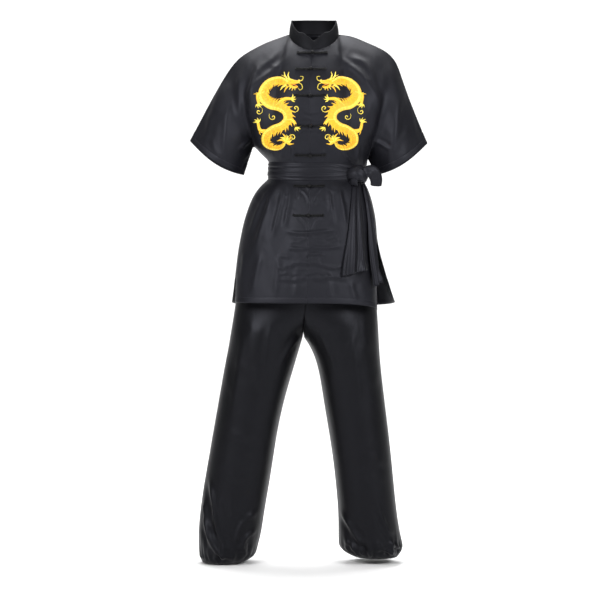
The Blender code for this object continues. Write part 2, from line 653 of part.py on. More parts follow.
def build_waist(quarters, normals, collection):
    """The sash's band round the jacket, and the trousers' waistband inside it."""
    points, outward, count = waist_ring(quarters, normals, SASH_ROWS)
    rows = len(SASH_LIFT)
    turn = 2 * math.pi * PLEAT_WAVES / count
    fullness = [1 + PLEAT_CHANGE * math.sin(turn * n) for n in range(count)]
    inner = {key: points[key] + outward[key] * LAID_GAP for key in points}
    outer = {
        (r, n): inner[r, n] + outward[r, n] * SASH_LIFT[r] * fullness[n]
        for r, n in points
    }
    cloth = material("sash_band", SASH_SATIN, SASH_ROUGHNESS)
    wall("sash_band", outer, inner, ring_cells(rows, count), cloth, collection)

    level = {key: unit(outward[key] * np.array([1.0, 1.0, 0.0])) for key in points}
    depth = SATIN_WALL + 2 * SEAM_STEP
    band = {(r, n): points[r, n] - level[r, n] * depth for r, n in points if r < WAISTBAND_ROWS}
    inside = {key: band[key] - level[key] * WAISTBAND_WALL for key in band}
    cells = ring_cells(WAISTBAND_ROWS, count)
    cloth = material("waistband", TROUSER_SATIN, TROUSER_ROUGHNESS)
    wall("waistband", band, inside, cells, cloth, collection)
    return [band[0, n] - level[0, n] * SEAM_STEP for n in range(count)]


def leg_point(face, side, leg, share):
    """Point of a leg's section; share runs from the side seam (0) to the middle seam or inseam (1)."""
    x_out, x_in = (leg.right_out, leg.right_in) if side == RIGHT else (leg.left_out, leg.left_in)
    rise = min(1.0, max(0.0, (leg.z - CROTCH_Z) / RISE_CURVE)) ** RISE_POWER
    last = math.pi - math.pi / 2 * rise
    reach = (x_in - x_out) / (1 + abs(math.cos(last)) ** LEG_ROUND if last > math.pi / 2 + 1e-6 else 1.0)
    angle = last * share
    bow = math.copysign(abs(math.cos(angle)) ** LEG_ROUND, math.cos(angle))
    depth = leg.front if face == FRONT else leg.back
    return np.array([x_out + reach * (1 - bow), face * depth * abs(math.sin(angle)) ** LEG_ROUND, leg.z])


def ankle_point(face, side, share, z):
    x, y = ANKLE_CENTRE[side]
    angle = math.pi * share
    return np.array([
        x + side * ANKLE_HALF[0] * math.cos(angle), y + face * ANKLE_HALF[1] * math.sin(angle), z
    ])


def trouser_quarter(face, side, waist_edge):
    """Outer points of one trouser panel, keyed (row, column) from the waist and the side seam."""
    quarter = len(waist_edge) // 4
    order = ((FRONT, RIGHT), (FRONT, LEFT), (BACK, LEFT), (BACK, RIGHT))
    first = order.index((face, side)) * quarter
    edge = [waist_edge[(first + n) % len(waist_edge)] for n in range(quarter + 1)]
    if (face, side) in ((FRONT, LEFT), (BACK, RIGHT)):
        edge.reverse()
    level = LEGS[0].z
    points = {}
    for j in range(LEG_COLUMNS + 1):
        share = j / LEG_COLUMNS
        top = along(edge, share)
        points[0, j] = top - np.array([0.0, 0.0, SEAM_STEP - SEAM_PULL])
        for i, leg in enumerate(LEGS):
            point = leg_point(face, side, leg, share)
            fade = max(0.0, 1.0 - (level - leg.z) / WAIST_BLEND)
            point[2] += fade * (top[2] - WAIST_LEVEL)
            points[i + 1, j] = point
        last = points[len(LEGS), j]
        for i, roll in enumerate(HEM_ROLL):
            z = HEM_LOWEST[side] + roll.height
            ring = ankle_point(face, side, share, z)
            point = ring * (1 - roll.share) + last * roll.share
            gather = GATHER_DEPTH * (1 if j % 2 else -1) * (1 - (1 - GATHER_LEAST) * roll.share)
            away = unit(np.array([point[0] - ANKLE_CENTRE[side][0], point[1] - ANKLE_CENTRE[side][1], 0.0]))
            last_row = i == len(HEM_ROLL) - 1
            point = point + away * (0.0 if last_row or j in (0, LEG_COLUMNS) else gather)
            points[len(LEGS) + 1 + i, j] = np.array([point[0], point[1], z])
    return points


def build_trousers(waist_edge, collection):
    quarters = {(f, s): trouser_quarter(f, s, waist_edge) for f in (FRONT, BACK) for s in (RIGHT, LEFT)}
    quarters = crease(quarters, LEG_FOLDS, len(LEGS))
    mitred = mitred_normals(quarters, shared_normals(quarters))
    for (face, side), points in quarters.items():
        name = f"trouser_{'front' if face == FRONT else 'back'}_{'right' if side == RIGHT else 'left'}"
        cloth = material(name, TROUSER_SATIN, TROUSER_ROUGHNESS)
        panel(name, points, mitred, TROUSER_WALL, cloth, collection)
    for side, name in ((RIGHT, "cuff_right"), (LEFT, "cuff_left")):
        build_cuff(side, name, collection)


def build_cuff(side, name, collection):
    """The elastic casing that the leg's lower edge is gathered onto."""
    top = HEM_LOWEST[side] + HEM_ROLL[-1].height - SEAM_STEP + SEAM_PULL + CUFF_HEIGHT / 2
    count = 4 * LEG_COLUMNS // 2
    outer, inner = {}, {}
    for n in range(count):
        share = 2 * n / count
        for r, z in enumerate((top - CUFF_HEIGHT, top)):
            face, part = (FRONT, share) if share <= 1 else (BACK, 2 - share)
            ring = ankle_point(face, side, part, z)
            centre = np.array([*ANKLE_CENTRE[side], z])
            inward = unit(centre - ring)
            outer[r, n] = ring + inward * SEAM_STEP
            inner[r, n] = ring + inward * (SEAM_STEP + CUFF_WALL)
    cloth = material(name, TROUSER_SATIN, TROUSER_ROUGHNESS)
    wall(name, outer, inner, ring_cells(2, count), cloth, collection)


def surface_of(objects):
    """A search tree over the faces of some objects."""
    vertices, faces = [], []
    for obj in objects:
        base = len(vertices)
        vertices += [v.co.copy() for v in obj.data.vertices]
        faces += [[base + n for n in p.vertices] for p in obj.data.polygons]
    return BVHTree.FromPolygons(vertices, faces)


def hit(tree, origin, direction):
    """Where a straight line first meets the cloth, and the cloth's outward normal there."""
    place, normal, _, _ = tree.ray_cast(Vector(origin), Vector(direction))
    normal = np.array(normal)
    if np.dot(normal, direction) > 0:
        normal = -normal
    return np.array(place), normal


def build_frogs(tree, collection):
    """Seven frogs: a strap on each front and a ball knot over the middle line."""
    cord = material("frog", CORD_SATIN, CORD_ROUGHNESS)
    for n, z in enumerate(FROG_HEIGHTS, start=1):
        x_mid = curve_at(MIDDLE_LINE, z)
        for side, word in ((RIGHT, "right"), (LEFT, "left")):
            outer, inner = {}, {}
            for i in range(FROG_STEPS + 1):
                reach = FROG_INNER + (FROG_OUTER - FROG_INNER) * i / FROG_STEPS
                for r, dz in enumerate((-FROG_HEIGHT / 2, 0.0, FROG_HEIGHT / 2)):
                    place, normal = hit(tree, (x_mid + side * reach, -FAR, z + dz), (0, 1, 0))
                    inner[r, i] = place + normal * LAID_GAP
                    crown = FROG_THICKNESS * (1.0 if r == 1 else FROG_EDGE)
                    outer[r, i] = inner[r, i] + normal * crown
            wall(f"frog_{n}_{word}", outer, inner, quarter_cells(outer), cord, collection)
        place, normal = hit(tree, (x_mid + KNOT_ASIDE, -FAR, z), (0, 1, 0))
        place[0] = x_mid
        normal[0] = 0.0
        centre = place + normal * FROG_KNOT_RADIUS
        while tree.find_nearest(Vector(centre))[3] < FROG_KNOT_RADIUS + LAID_GAP:
            centre = centre + normal * KNOT_STEP
        bpy.ops.mesh.primitive_uv_sphere_add(segments=10, ring_count=6, radius=FROG_KNOT_RADIUS)
        ball = bpy.context.object
        ball.name = ball.data.name = f"frog_{n}_knot"
        ball.location = centre
        ball.rotation_euler = (math.pi / 2, 0.0, 0.0)
        ball.data.materials.append(cord)
        ball.data.shade_smooth()
        for holder in ball.users_collection:
            holder.objects.unlink(ball)
        collection.objects.link(ball)


def rest_on(place, out, trees, gap):
    """Raises a point along a direction to a gap over the cloth under it, if it is nearer or inside."""
    for tree in trees:
        far = place + out * PROBE
        distance = tree.ray_cast(Vector(far), Vector(-out), PROBE * 1.5)[3]
        if distance is not None and PROBE - distance + gap > 0:
            place = place + out * (PROBE - distance + gap)
    return place


def build_knot(trees, collection):
    """The sash's knot, a wrapped lump pressed against the band and the tails' upper ends."""
    bpy.ops.mesh.primitive_uv_sphere_add(segments=20, ring_count=12, radius=1.0)
    knot = bpy.context.object
    knot.name = knot.data.name = "sash_knot"
    along_way, out_way = unit(np.array(KNOT_ALONG)), unit(np.array(KNOT_OUT))
    for vertex in knot.data.vertices:
        a, b, c = vertex.co
        furrow = KNOT_FURROWS * (math.cos(5 * a + 4 * c) - 0.6 * math.cos(7 * c - 3 * a)) * max(b, 0.0)
        along_by = a * KNOT_RADII[0]
        out_by = b * (KNOT_RADII[1] if b > 0 else KNOT_RADII[1] * KNOT_BACK) + furrow
        out_by -= along_by**2 / (2 * WAIST_RADIUS)
        place = np.array(KNOT_CENTRE) + along_way * along_by + out_way * out_by
        place[2] += c * KNOT_RADII[2]
        vertex.co = Vector(rest_on(place, out_way, trees, KNOT_GAP * (1 + b)))
    face_outwards(knot.data)
    knot.data.materials.append(material("sash_knot", SASH_SATIN, SASH_ROUGHNESS))
    knot.data.shade_smooth()
    for holder in knot.users_collection:
        holder.objects.unlink(knot)
    collection.objects.link(knot)
    return knot


def build_loop(collection):
    """The short folded end that stands out of the knot's side and droops."""
    rings = []
    for n, row in enumerate(SASH_LOOP):
        centre = np.array([row.x, row.y, row.z])
        before = SASH_LOOP[max(n - 1, 0)]
        after = SASH_LOOP[min(n + 1, len(SASH_LOOP) - 1)]
        run = unit(np.array([after.x - before.x, after.y - before.y, after.z - before.z]))
        across = unit(np.cross(run, np.array([0.0, 1.0, 0.0])))
        thick = np.cross(run, across)
        ring = []
        for k in range(LOOP_SIDES):
            angle = 2 * math.pi * k / LOOP_SIDES
            place = centre + across * row.across * math.cos(angle) + thick * row.thick * math.sin(angle)
            ring.append(place)
        rings.append(ring)
    vertices = [place for ring in rings for place in ring]
    faces = [list(range(LOOP_SIDES)), [len(vertices) - 1 - k for k in range(LOOP_SIDES)]]
    for n in range(len(rings) - 1):
        for k in range(LOOP_SIDES):
            a, b = n * LOOP_SIDES + k, n * LOOP_SIDES + (k + 1) % LOOP_SIDES
            faces.append([a, b, b + LOOP_SIDES, a + LOOP_SIDES])
    cloth = material("sash_loop", SASH_SATIN, SASH_ROUGHNESS)
    return mesh_object("sash_loop", vertices, faces, cloth, collection)


def build_tail(name, rows, columns, from_side, tree, collection):
    """A hanging end of the sash, laid over the skirt with soft lengthwise folds."""
    outer, inner = {}, {}
    for i, row in enumerate(rows):
        for j in range(columns + 1):
            share = j / columns
            reach = row.inner + (row.outer - row.inner) * share
            if from_side:
                place, normal = hit(tree, (FAR, -reach, row.z), (-1, 0, 0))
            else:
                place, normal = hit(tree, (reach, -FAR, row.z), (0, 1, 0))
            wave = row.wave * TAIL_WAVE * (0.5 - 0.5 * math.cos(4 * math.pi * share))
            inner[i, j] = place + normal * (row.lift + wave)
            outer[i, j] = inner[i, j] + normal * TAIL_WALL
    cloth = material(name, SASH_SATIN, SASH_ROUGHNESS)
    return wall(name, outer, inner, quarter_cells(outer), cloth, collection)


def build_sash_ends(collection):
    """The knot, its loop and its two tails, each clear of the cloth it lies on."""
    objects = collection.objects
    skirt = surface_of([objects["jacket_front_left"], objects["jacket_back"]])
    band = surface_of([objects["sash_band"]])
    side_tail = build_tail("sash_tail_side", TAIL_SIDE, 3, True, skirt, collection)
    front_tail = build_tail("sash_tail_front", TAIL_FRONT, 8, False, skirt, collection)
    build_knot([skirt, band, surface_of([side_tail]), surface_of([front_tail])], collection)
    build_loop(collection)


def main():
    for obj in list(bpy.data.objects):
        bpy.data.objects.remove(obj, do_unlink=True)
    collection = bpy.data.collections.new("tai_chi_uniform")
    bpy.context.scene.collection.children.link(collection)
    quarters, normals = build_jacket(collection)
    build_collar(quarters, collection)
    waist_edge = build_waist(quarters, normals, collection)
    build_trousers(waist_edge, collection)
    fronts = surface_of([collection.objects["jacket_front_right"], collection.objects["jacket_front_left"]])
    build_frogs(fronts, collection)
    build_sash_ends(collection)


main()
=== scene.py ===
"""Looks of a black satin tai chi uniform in its worn, hollow form: folded satin panels with stitched hems, a
stand collar, corded frogs, a knotted sash, gold embroidery and gathered trousers.

Metres, +Z up. The front faces -Y, and the wearer's right is -X. The origin is the middle of the neck opening.
Lengths in the tables are millimetres.
"""

import math
import random
from collections import namedtuple

import bmesh
import bpy
import numpy as np
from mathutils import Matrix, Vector
from mathutils.bvhtree import BVHTree
from mathutils.kdtree import KDTree


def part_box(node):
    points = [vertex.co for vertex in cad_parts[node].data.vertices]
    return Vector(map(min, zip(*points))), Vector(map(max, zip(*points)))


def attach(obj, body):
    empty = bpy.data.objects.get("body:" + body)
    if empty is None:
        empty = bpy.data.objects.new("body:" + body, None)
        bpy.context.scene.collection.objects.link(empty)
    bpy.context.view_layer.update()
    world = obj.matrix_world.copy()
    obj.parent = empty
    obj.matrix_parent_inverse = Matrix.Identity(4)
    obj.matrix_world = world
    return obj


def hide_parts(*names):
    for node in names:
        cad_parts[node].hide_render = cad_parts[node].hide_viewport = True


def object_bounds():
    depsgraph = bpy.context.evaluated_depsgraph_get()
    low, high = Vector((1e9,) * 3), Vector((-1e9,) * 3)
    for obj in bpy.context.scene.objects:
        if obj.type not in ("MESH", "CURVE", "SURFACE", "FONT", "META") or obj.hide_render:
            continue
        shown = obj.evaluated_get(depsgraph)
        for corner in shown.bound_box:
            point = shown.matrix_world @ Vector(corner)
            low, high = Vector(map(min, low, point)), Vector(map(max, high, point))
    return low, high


bl_info = {
    "name": "Tai chi uniform",
    "version": (1, 0, 0),
    "blender": (4, 5, 0),
    "location": "View3D > Sidebar > Uniform",
    "description": "Dresses the uniform's solids in satin, cord and embroidery",
    "category": "Object",
}

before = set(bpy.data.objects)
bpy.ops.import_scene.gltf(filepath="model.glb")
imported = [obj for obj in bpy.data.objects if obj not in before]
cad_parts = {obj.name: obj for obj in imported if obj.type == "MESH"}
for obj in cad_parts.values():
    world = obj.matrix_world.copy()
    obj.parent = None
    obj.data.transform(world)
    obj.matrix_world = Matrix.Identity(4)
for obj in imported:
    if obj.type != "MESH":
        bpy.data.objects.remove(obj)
CAD_LOW, CAD_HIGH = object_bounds()

MM = 0.001
FRONT, BACK = -1, 1
RIGHT, LEFT = -1, 1
SIDES = ((RIGHT, "right"), (LEFT, "left"))
FAR = 0.5

# How a panel's outer wall is taken from its solid
MERGE = 0.00001
RIM_ANGLE = math.radians(55)
SEAM_PLAY = 0.0006
SMOOTH_LEVELS = 3
FRONT_LEVELS = 4
EDGE_FADE = 0.012
LEG_GAIN = 1.7

# Folds: the places (x, z) that a fold runs through, its height and its half width. The trough lies on the
# right of the way it runs.
Fold = namedtuple("Fold", "line height width")
CHEST_FOLDS = (
    Fold(((-72, -44), (-86, -82), (-119, -112), (-162, -150), (-180, -200)), 4.2, 10),
    Fold(((-91, -34), (-116, -70), (-146, -98), (-178, -150), (-192, -215)), 3.2, 10),
    Fold(((-143, -71), (-160, -104), (-173, -158), (-179, -224), (-182, -279)), 4, 9),
    Fold(((-201, -82), (-206, -150), (-201, -224), (-187, -290)), 5, 12),
    Fold(((-253, -115), (-275, -191), (-297, -273), (-305, -317)), 2.5, 10),
    Fold(((-228, -164), (-242, -241), (-247, -328), (-242, -367)), 2.0, 8),
    Fold(((-277, -148), (-305, -213), (-324, -279)), 1.5, 9),
    Fold(((-214, -328), (-187, -301), (-165, -279)), 2.0, 5),
    Fold(((-204, -361), (-184, -334), (-171, -309)), 1.8, 4),
    Fold(((174, -215), (160, -165), (128, -118), (87, -84), (52, -42)), 4.2, 10),
    Fold(((169, -235), (172, -191), (166, -137), (142, -87), (103, -68), (70, -46)), 3.5, 9),
    Fold(((150, -301), (166, -246), (183, -169), (188, -93)), 5, 12),
    Fold(((202, -372), (213, -328), (229, -241), (240, -158)), 2.5, 10),
    Fold(((287, -295), (278, -260), (268, -191)), 1.5, 8),
    Fold(((215, -328), (183, -306), (152, -290)), 2, 5),
    Fold(((84, -339), (103, -361), (125, -383)), 1.6, 4),
    Fold(((65, -301), (92, -345), (111, -378)), 1.4, 4),
    Fold(((125, -301), (120, -342), (120, -378)), 1.5, 5),
    Fold(((-94, -295), (-91, -356)), 2, 5),
    Fold(((-61, -315), (-58, -358)), 1.6, 4),
    Fold(((-116, -279), (-121, -356)), 2, 6),
    Fold(((-39, -328), (-36, -361)), 1.2, 4),
    Fold(((24, -323), (27, -364)), 1.3, 4),
    Fold(((-45, -54), (-23, -63), (-9, -74)), 0.9, 3),
    Fold(((32, -49), (10, -60), (-6, -76)), 0.9, 3),
    Fold(((-36, -224), (-12, -230), (21, -227)), 0.8, 3),
    Fold(((-39, -279), (-12, -276), (16, -282)), 0.8, 3),
)
SKIRT_FOLDS = (
    Fold(((-85, -551), (-39, -557), (10, -554), (61, -548)), 3.4, 5),
    Fold(((-77, -595), (-39, -600), (-7, -597)), 2.3, 4.5),
    Fold(((-20, -590), (22, -598), (81, -592)), 2.3, 4.5),
    Fold(((-66, -636), (-28, -641), (14, -636)), 2.2, 4.5),
    Fold(((6, -640), (50, -652), (78, -646)), 2.0, 4),
    Fold(((-105, -679), (-56, -685), (-12, -676)), 2.0, 5),
    Fold(((-14, -684), (49, -676), (97, -685)), 2.0, 5),
    Fold(((-42, -434), (-23, -451), (-12, -478)), 1.0, 3),
    Fold(((21, -431), (2, -453), (-9, -483)), 1.0, 3),
    Fold(((-47, -505), (-26, -527), (-12, -554)), 1.1, 3),
    Fold(((26, -502), (4, -527), (-9, -557)), 1.1, 3),
    Fold(((-83, -423), (-91, -467), (-105, -527), (-115, -576)), 2.5, 6),
    Fold(((-66, -423), (-69, -478), (-83, -548)), 2.2, 6),
    Fold(((-105, -423), (-126, -483), (-148, -548), (-164, -608)), 2.5, 7),
    Fold(((-39, -423), (-42, -467)), 1.2, 4),
    Fold(((53, -543), (45, -480), (37, -423)), 2.0, 6),
    Fold(((86, -543), (78, -480), (64, -421)), 1.4, 5),
    Fold(((-124, -429), (-156, -494), (-181, -565)), 2, 6),
    Fold(((-143, -603), (-159, -671), (-170, -734)), 2.5, 9),
    Fold(((-94, -608), (-102, -685), (-107, -739)), 1.8, 8),
    Fold(((-47, -652), (-50, -734)), 1.2, 7),
    Fold(((42, -739), (37, -657)), 1.4, 7),
    Fold(((113, -747), (97, -685)), 2, 8),
    Fold(((-192, -603), (-200, -685)), 1.8, 6),
)
LEG_FOLDS = (
    Fold(((-290, -1227), (-279, -1298), (-265, -1381), (-240, -1409)), 4, 6),
    Fold(((-312, -1326), (-293, -1392), (-260, -1442), (-216, -1453)), 4, 6),
    Fold(((-306, -1285), (-301, -1345), (-282, -1414)), 3, 5),
    Fold(((-144, -1320), (-177, -1334), (-205, -1367), (-216, -1414)), 2.5, 5),
    Fold(((-155, -1373), (-188, -1395), (-205, -1433)), 2.5, 5),
    Fold(((-254, -1097), (-205, -1114), (-144, -1103)), 1.2, 8),
    Fold(((-260, -1207), (-210, -1229), (-155, -1218)), 1, 8),
    Fold(((-39, -835), (-72, -877), (-105, -932)), 1.5, 6),
    Fold(((-116, -789), (-127, -877), (-138, -959)), 1.5, 9),
    Fold(((-193, -822), (-210, -937), (-227, -1070)), 1.2, 10),
    Fold(((68, -1320), (104, -1370), (132, -1422)), 3, 6),
    Fold(((203, -1409), (225, -1420), (247, -1436)), 3, 4),
    Fold(((192, -1428), (209, -1436), (225, -1447)), 2.5, 4),
    Fold(((82, -1400), (110, -1428), (132, -1455)), 2, 5),
    Fold(((170, -1290), (192, -1351), (214, -1395)), 2, 6),
    Fold(((126, -1070), (115, -937), (99, -822)), 1.2, 10),
    Fold(((65, -937), (38, -877), (10, -816)), 1.5, 6),
    Fold(((85, -1125), (132, -1141), (181, -1125)), 1, 8),
)
BACK_FOLDS = (
    Fold(((-70, -30), (-105, -75), (-150, -120), (-172, -190)), 3.0, 8),
    Fold(((172, -195), (150, -120), (105, -80), (70, -34)), 3.0, 8),
    Fold(((-150, -70), (-172, -130), (-180, -210), (-178, -285)), 3.5, 9),
    Fold(((152, -290), (160, -215), (168, -140), (150, -72)), 3.5, 9),
    Fold(((-212, -90), (-214, -170), (-204, -250), (-190, -300)), 4, 11),
    Fold(((158, -305), (182, -240), (196, -165), (196, -95)), 4, 11),
    Fold(((-255, -130), (-280, -210), (-300, -300)), 2.2, 9),
    Fold(((262, -300), (258, -220), (240, -140)), 2.2, 9),
    Fold(((-60, -95), (-10, -108), (48, -98)), 1.4, 9),
    Fold(((-110, -230), (-96, -290), (-88, -345)), 2.0, 7),
    Fold(((-45, -260), (-40, -310), (-38, -345)), 1.6, 6),
    Fold(((30, -345), (36, -300), (34, -255)), 1.8, 6),
    Fold(((82, -345), (92, -290), (104, -225)), 2.0, 7),
    Fold(((-128, -300), (-112, -330), (-104, -350)), 1.6, 5),
    Fold(((-100, -410), (-118, -480), (-142, -570), (-160, -680)), 3.0, 8),
    Fold(((-50, -408), (-58, -480), (-70, -570)), 2.2, 7),
    Fold(((-8, -408), (-10, -470), (-6, -540)), 1.8, 7),
    Fold(((62, -560), (52, -480), (44, -408)), 2.2, 7),
    Fold(((150, -690), (132, -590), (112, -490), (92, -410)), 3.0, 8),
    Fold(((-95, -560), (-20, -572), (55, -560)), 1.8, 5),
    Fold(((-60, -625), (5, -634), (70, -622)), 1.2, 5),
    Fold(((-120, -640), (-112, -700), (-110, -748)), 2.0, 9),
    Fold(((-30, -660), (-28, -748)), 1.8, 10),
    Fold(((70, -748), (60, -655)), 2.0, 9),
    Fold(((185, -740), (172, -660)), 2.0, 7),
    Fold(((-205, -640), (-212, -730)), 1.8, 7),
)
BACK_LEG_FOLDS = (
    Fold(((-30, -860), (-75, -915), (-130, -960)), 3.0, 7),
    Fold(((-50, -890), (-110, -925), (-180, -930)), 2.0, 7),
    Fold(((150, -925), (100, -935), (40, -880)), 2.0, 7),
    Fold(((110, -985), (70, -940), (10, -870)), 3.0, 7),
    Fold(((-150, -1130), (-205, -1155), (-265, -1140)), 2.4, 7),
    Fold(((-145, -1180), (-200, -1190), (-250, -1175)), 1.8, 6),
    Fold(((70, -1130), (120, -1160), (185, -1145)), 2.4, 7),
    Fold(((75, -1185), (125, -1200), (190, -1190)), 1.8, 6),
    Fold(((-310, -1250), (-285, -1340), (-240, -1420)), 3.2, 7),
    Fold(((-160, -1290), (-190, -1370), (-225, -1430)), 2.6, 6),
    Fold(((-300, -1360), (-270, -1410), (-235, -1440)), 2.6, 5),
    Fold(((205, -1425), (225, -1360), (232, -1280)), 3.0, 7),
    Fold(((80, -1300), (110, -1370), (150, -1430)), 2.6, 6),
    Fold(((90, -1380), (125, -1420), (160, -1445)), 2.4, 5),
    Fold(((-120, -760), (-140, -880), (-175, -1010)), 1.6, 10),
    Fold(((140, -1010), (125, -880), (100, -760)), 1.6, 10),
)

# Fields of small creases: middle, spread, angle from level and its spread, number, length, half width, height
Creases = namedtuple("Creases", "x z spread_x spread_z angle turn count length width height")
FRONT_CREASES = (
    Creases(-115, -100, 40, 40, -48, 18, 5, 60, 7.0, 0.7),
    Creases(110, -105, 40, 40, 48, 18, 5, 60, 7.0, 0.7),
    Creases(-10, -190, 34, 100, 0, 30, 10, 26, 4.0, 0.5),
    Creases(-110, -250, 45, 90, -75, 25, 6, 60, 7.0, 0.6),
    Creases(105, -250, 45, 90, 75, 25, 6, 60, 7.0, 0.6),
    Creases(-265, -240, 40, 80, -72, 15, 6, 80, 8.0, 0.8),
    Creases(245, -250, 40, 80, 76, 15, 6, 80, 8.0, 0.8),
    Creases(-15, -470, 70, 40, 0, 60, 14, 30, 4.0, 0.6),
    Creases(-120, -470, 50, 50, -76, 15, 8, 70, 6.0, 0.9),
    Creases(60, -480, 40, 50, 82, 15, 6, 70, 6.0, 0.8),
    Creases(-15, -625, 75, 60, 0, 18, 30, 36, 4.4, 1.3),
    Creases(-150, -650, 50, 70, -80, 15, 6, 80, 8.0, 0.7),
    Creases(110, -690, 50, 50, 82, 15, 5, 60, 7.0, 0.7),
)
BACK_CREASES = (
    Creases(-90, -160, 70, 90, -50, 30, 8, 60, 7.0, 0.7),
    Creases(85, -160, 70, 90, 50, 30, 8, 60, 7.0, 0.7),
    Creases(0, -300, 100, 40, 90, 20, 14, 50, 6.0, 0.9),
    Creases(-250, -240, 50, 90, -72, 15, 6, 80, 8.0, 0.8),
    Creases(240, -240, 45, 90, 76, 15, 6, 80, 8.0, 0.8),
    Creases(0, -480, 130, 60, 90, 20, 20, 70, 6.0, 0.9),
    Creases(0, -660, 150, 70, 0, 60, 14, 50, 6.0, 0.6),
)
LEG_CREASES = (
    Creases(-170, -900, 60, 80, -70, 30, 7, 90, 9.0, 0.8),
    Creases(110, -900, 60, 80, 70, 30, 7, 90, 9.0, 0.8),
    Creases(-200, -1130, 60, 90, 0, 35, 8, 70, 8.0, 0.7),
    Creases(130, -1150, 60, 90, 0, 35, 8, 70, 8.0, 0.7),
    Creases(-235, -1370, 65, 70, -60, 35, 14, 50, 6.0, 1.2),
    Creases(155, -1390, 65, 60, -45, 35, 14, 50, 6.0, 1.2),
    Creases(-235, -1440, 70, 18, 90, 20, 22, 30, 4.4, 1.4),
    Creases(160, -1430, 70, 18, 90, 20, 22, 30, 4.4, 1.4),
)

# The front opening as height and x
MIDDLE_LINE = ((-748, -20.2), (-510, -16.5), (-340, -11.3), (-110, -10.0), (-50, -4.0))

# Pleats of the sash: height as a share of the band, depth, half width as a share, drift and its phase
Pleat = namedtuple("Pleat", "height depth width drift phase")
PLEATS = (
    Pleat(0.16, 2.8, 0.055, 0.03, 0.4),
    Pleat(0.44, 1.5, 0.050, 0.06, 1.9),
    Pleat(0.72, 2.4, 0.055, 0.05, 3.1),
    Pleat(0.90, 1.0, 0.030, 0.02, 4.6),
)

# The knot's wraps and the stub, from the knot's middle: x, y and z of their line, widths, thickness, pleats
Wrap = namedtuple("Wrap", "line widths thick pleats")
KNOT_WRAPS = (
    Wrap(((-32, 0, -3), (-21, -13, 2), (-4, -21, 4), (13, -17, -4), (21, -5, -13), (17, 7, -19)),
         (28, 30, 31, 28, 22, 14), 9, 4),
    Wrap(((12, -3, 22), (-1, -14, 17), (-9, -17, 0), (-12, -13, -16), (-12, -9, -30)), (22, 26, 26, 26, 32), 9, 4),
)
STUB = Wrap(((10, -6, 0), (24, -11, 7), (38, -9, 8), (47, -4, -2), (51, 0, -16), (50, 2, -32)),
            (24, 32, 37, 37, 34, 30), 11, 5)
KNOT_ANGLE = -0.635
TAILS = (
    ("sash_tail_front", (0, -1, 0), 0, 2.6, 0.1),
    ("sash_tail_side", (1, 0, 0), 1, 2.2, 0.4),
)

# Hems, sleeve mouths (outer and inner end as x, z) and their stitching
HEM_BELOW = -690
SLEEVE_MOUTHS = {RIGHT: ((-347, -294), (-197, -389)), LEFT: ((317, -300), (174, -389))}
FROG_COUNT = 7


def linear(code):
    """An sRGB hex colour as linear RGBA."""
    parts = [int(code[i : i + 2], 16) / 255 for i in (1, 3, 5)]
    return (*(p / 12.92 if p <= 0.04045 else ((p + 0.055) / 1.055) ** 2.4 for p in parts), 1.0)


def length(name, description, default, **more):
    """A property for a length in metres."""
    return bpy.props.FloatProperty(
        name=name, description=description, default=default, min=0.0, subtype="DISTANCE", unit="LENGTH", **more
    )


def colour(name, description, code):
    """A property for a colour, given as sRGB hex."""
    return bpy.props.FloatVectorProperty(
        name=name, description=description, default=linear(code), size=4, min=0.0, max=1.0, subtype="COLOR"
    )


def share(name, description, default, most=1.0):
    """A property for a plain number from 0 to most."""
    return bpy.props.FloatProperty(name=name, description=description, default=default, min=0.0, max=most)


class UniformCloth(bpy.types.PropertyGroup):
    """Walls, folds and finishes of the cloth pieces."""

    wall: length("Satin wall", "Thickness of the jacket's and trousers' cloth", 0.0009)
    collar_wall: length("Collar wall", "Thickness of the interfaced collar", 0.0020)
    fold_height: share("Fold height", "How high the folds stand, 1 as worn", 1.0, 2.0)
    hem_depth: length("Hem depth", "Height of the turned and stitched hems", 0.0150)
    jacket_shade: colour("Jacket shade", "Black satin away from the light", "#08080b")
    jacket_light: colour("Jacket light", "Black satin where the filament catches light", "#0e0e13")
    collar_shade: colour("Collar colour", "Matter black of the collar", "#070708")
    sash_shade: colour("Sash shade", "Charcoal satin of the sash", "#101013")
    sash_light: colour("Sash light", "Lighter charcoal of the sash", "#17171b")
    trouser_shade: colour("Trouser shade", "Black of the trousers", "#050506")
    trouser_light: colour("Trouser light", "Lighter black of the trousers", "#08080a")
    thread: length("Thread spacing", "Spacing of the weave's ribs, drawn coarser than real so they show", 0.0009)
    crinkle: length("Crinkle size", "Size of the smallest creases in the satin", 0.0140)


class UniformTrim(bpy.types.PropertyGroup):
    """Cords, stitches and embroidery."""

    cord: length("Cord diameter", "Diameter of the frogs' cord", 0.0029)
    cord_gap: length("Cord spacing", "Distance between a frog's two runs of cord", 0.0034)
    cord_colour: colour("Cord colour", "Black of the frogs' cord", "#060607")
    thread_colour: colour("Sewing thread", "Black thread with a little more light in it than the cloth", "#26262b")
    stitch: length("Stitch length", "Length of one hem stitch", 0.0026)
    embroidery: length("Embroidery height", "How far the gold thread stands off the satin", 0.0011)
    gold: colour("Gold thread", "Main colour of the embroidery", "#ffc412")
    pale: colour("Pale thread", "Light yellow of the embroidery", "#ffe44e")
    amber: colour("Amber thread", "Shading colour of the embroidery", "#e08d10")
    motif_gap: length("Motif gap", "From the middle line to each motif", 0.0310)


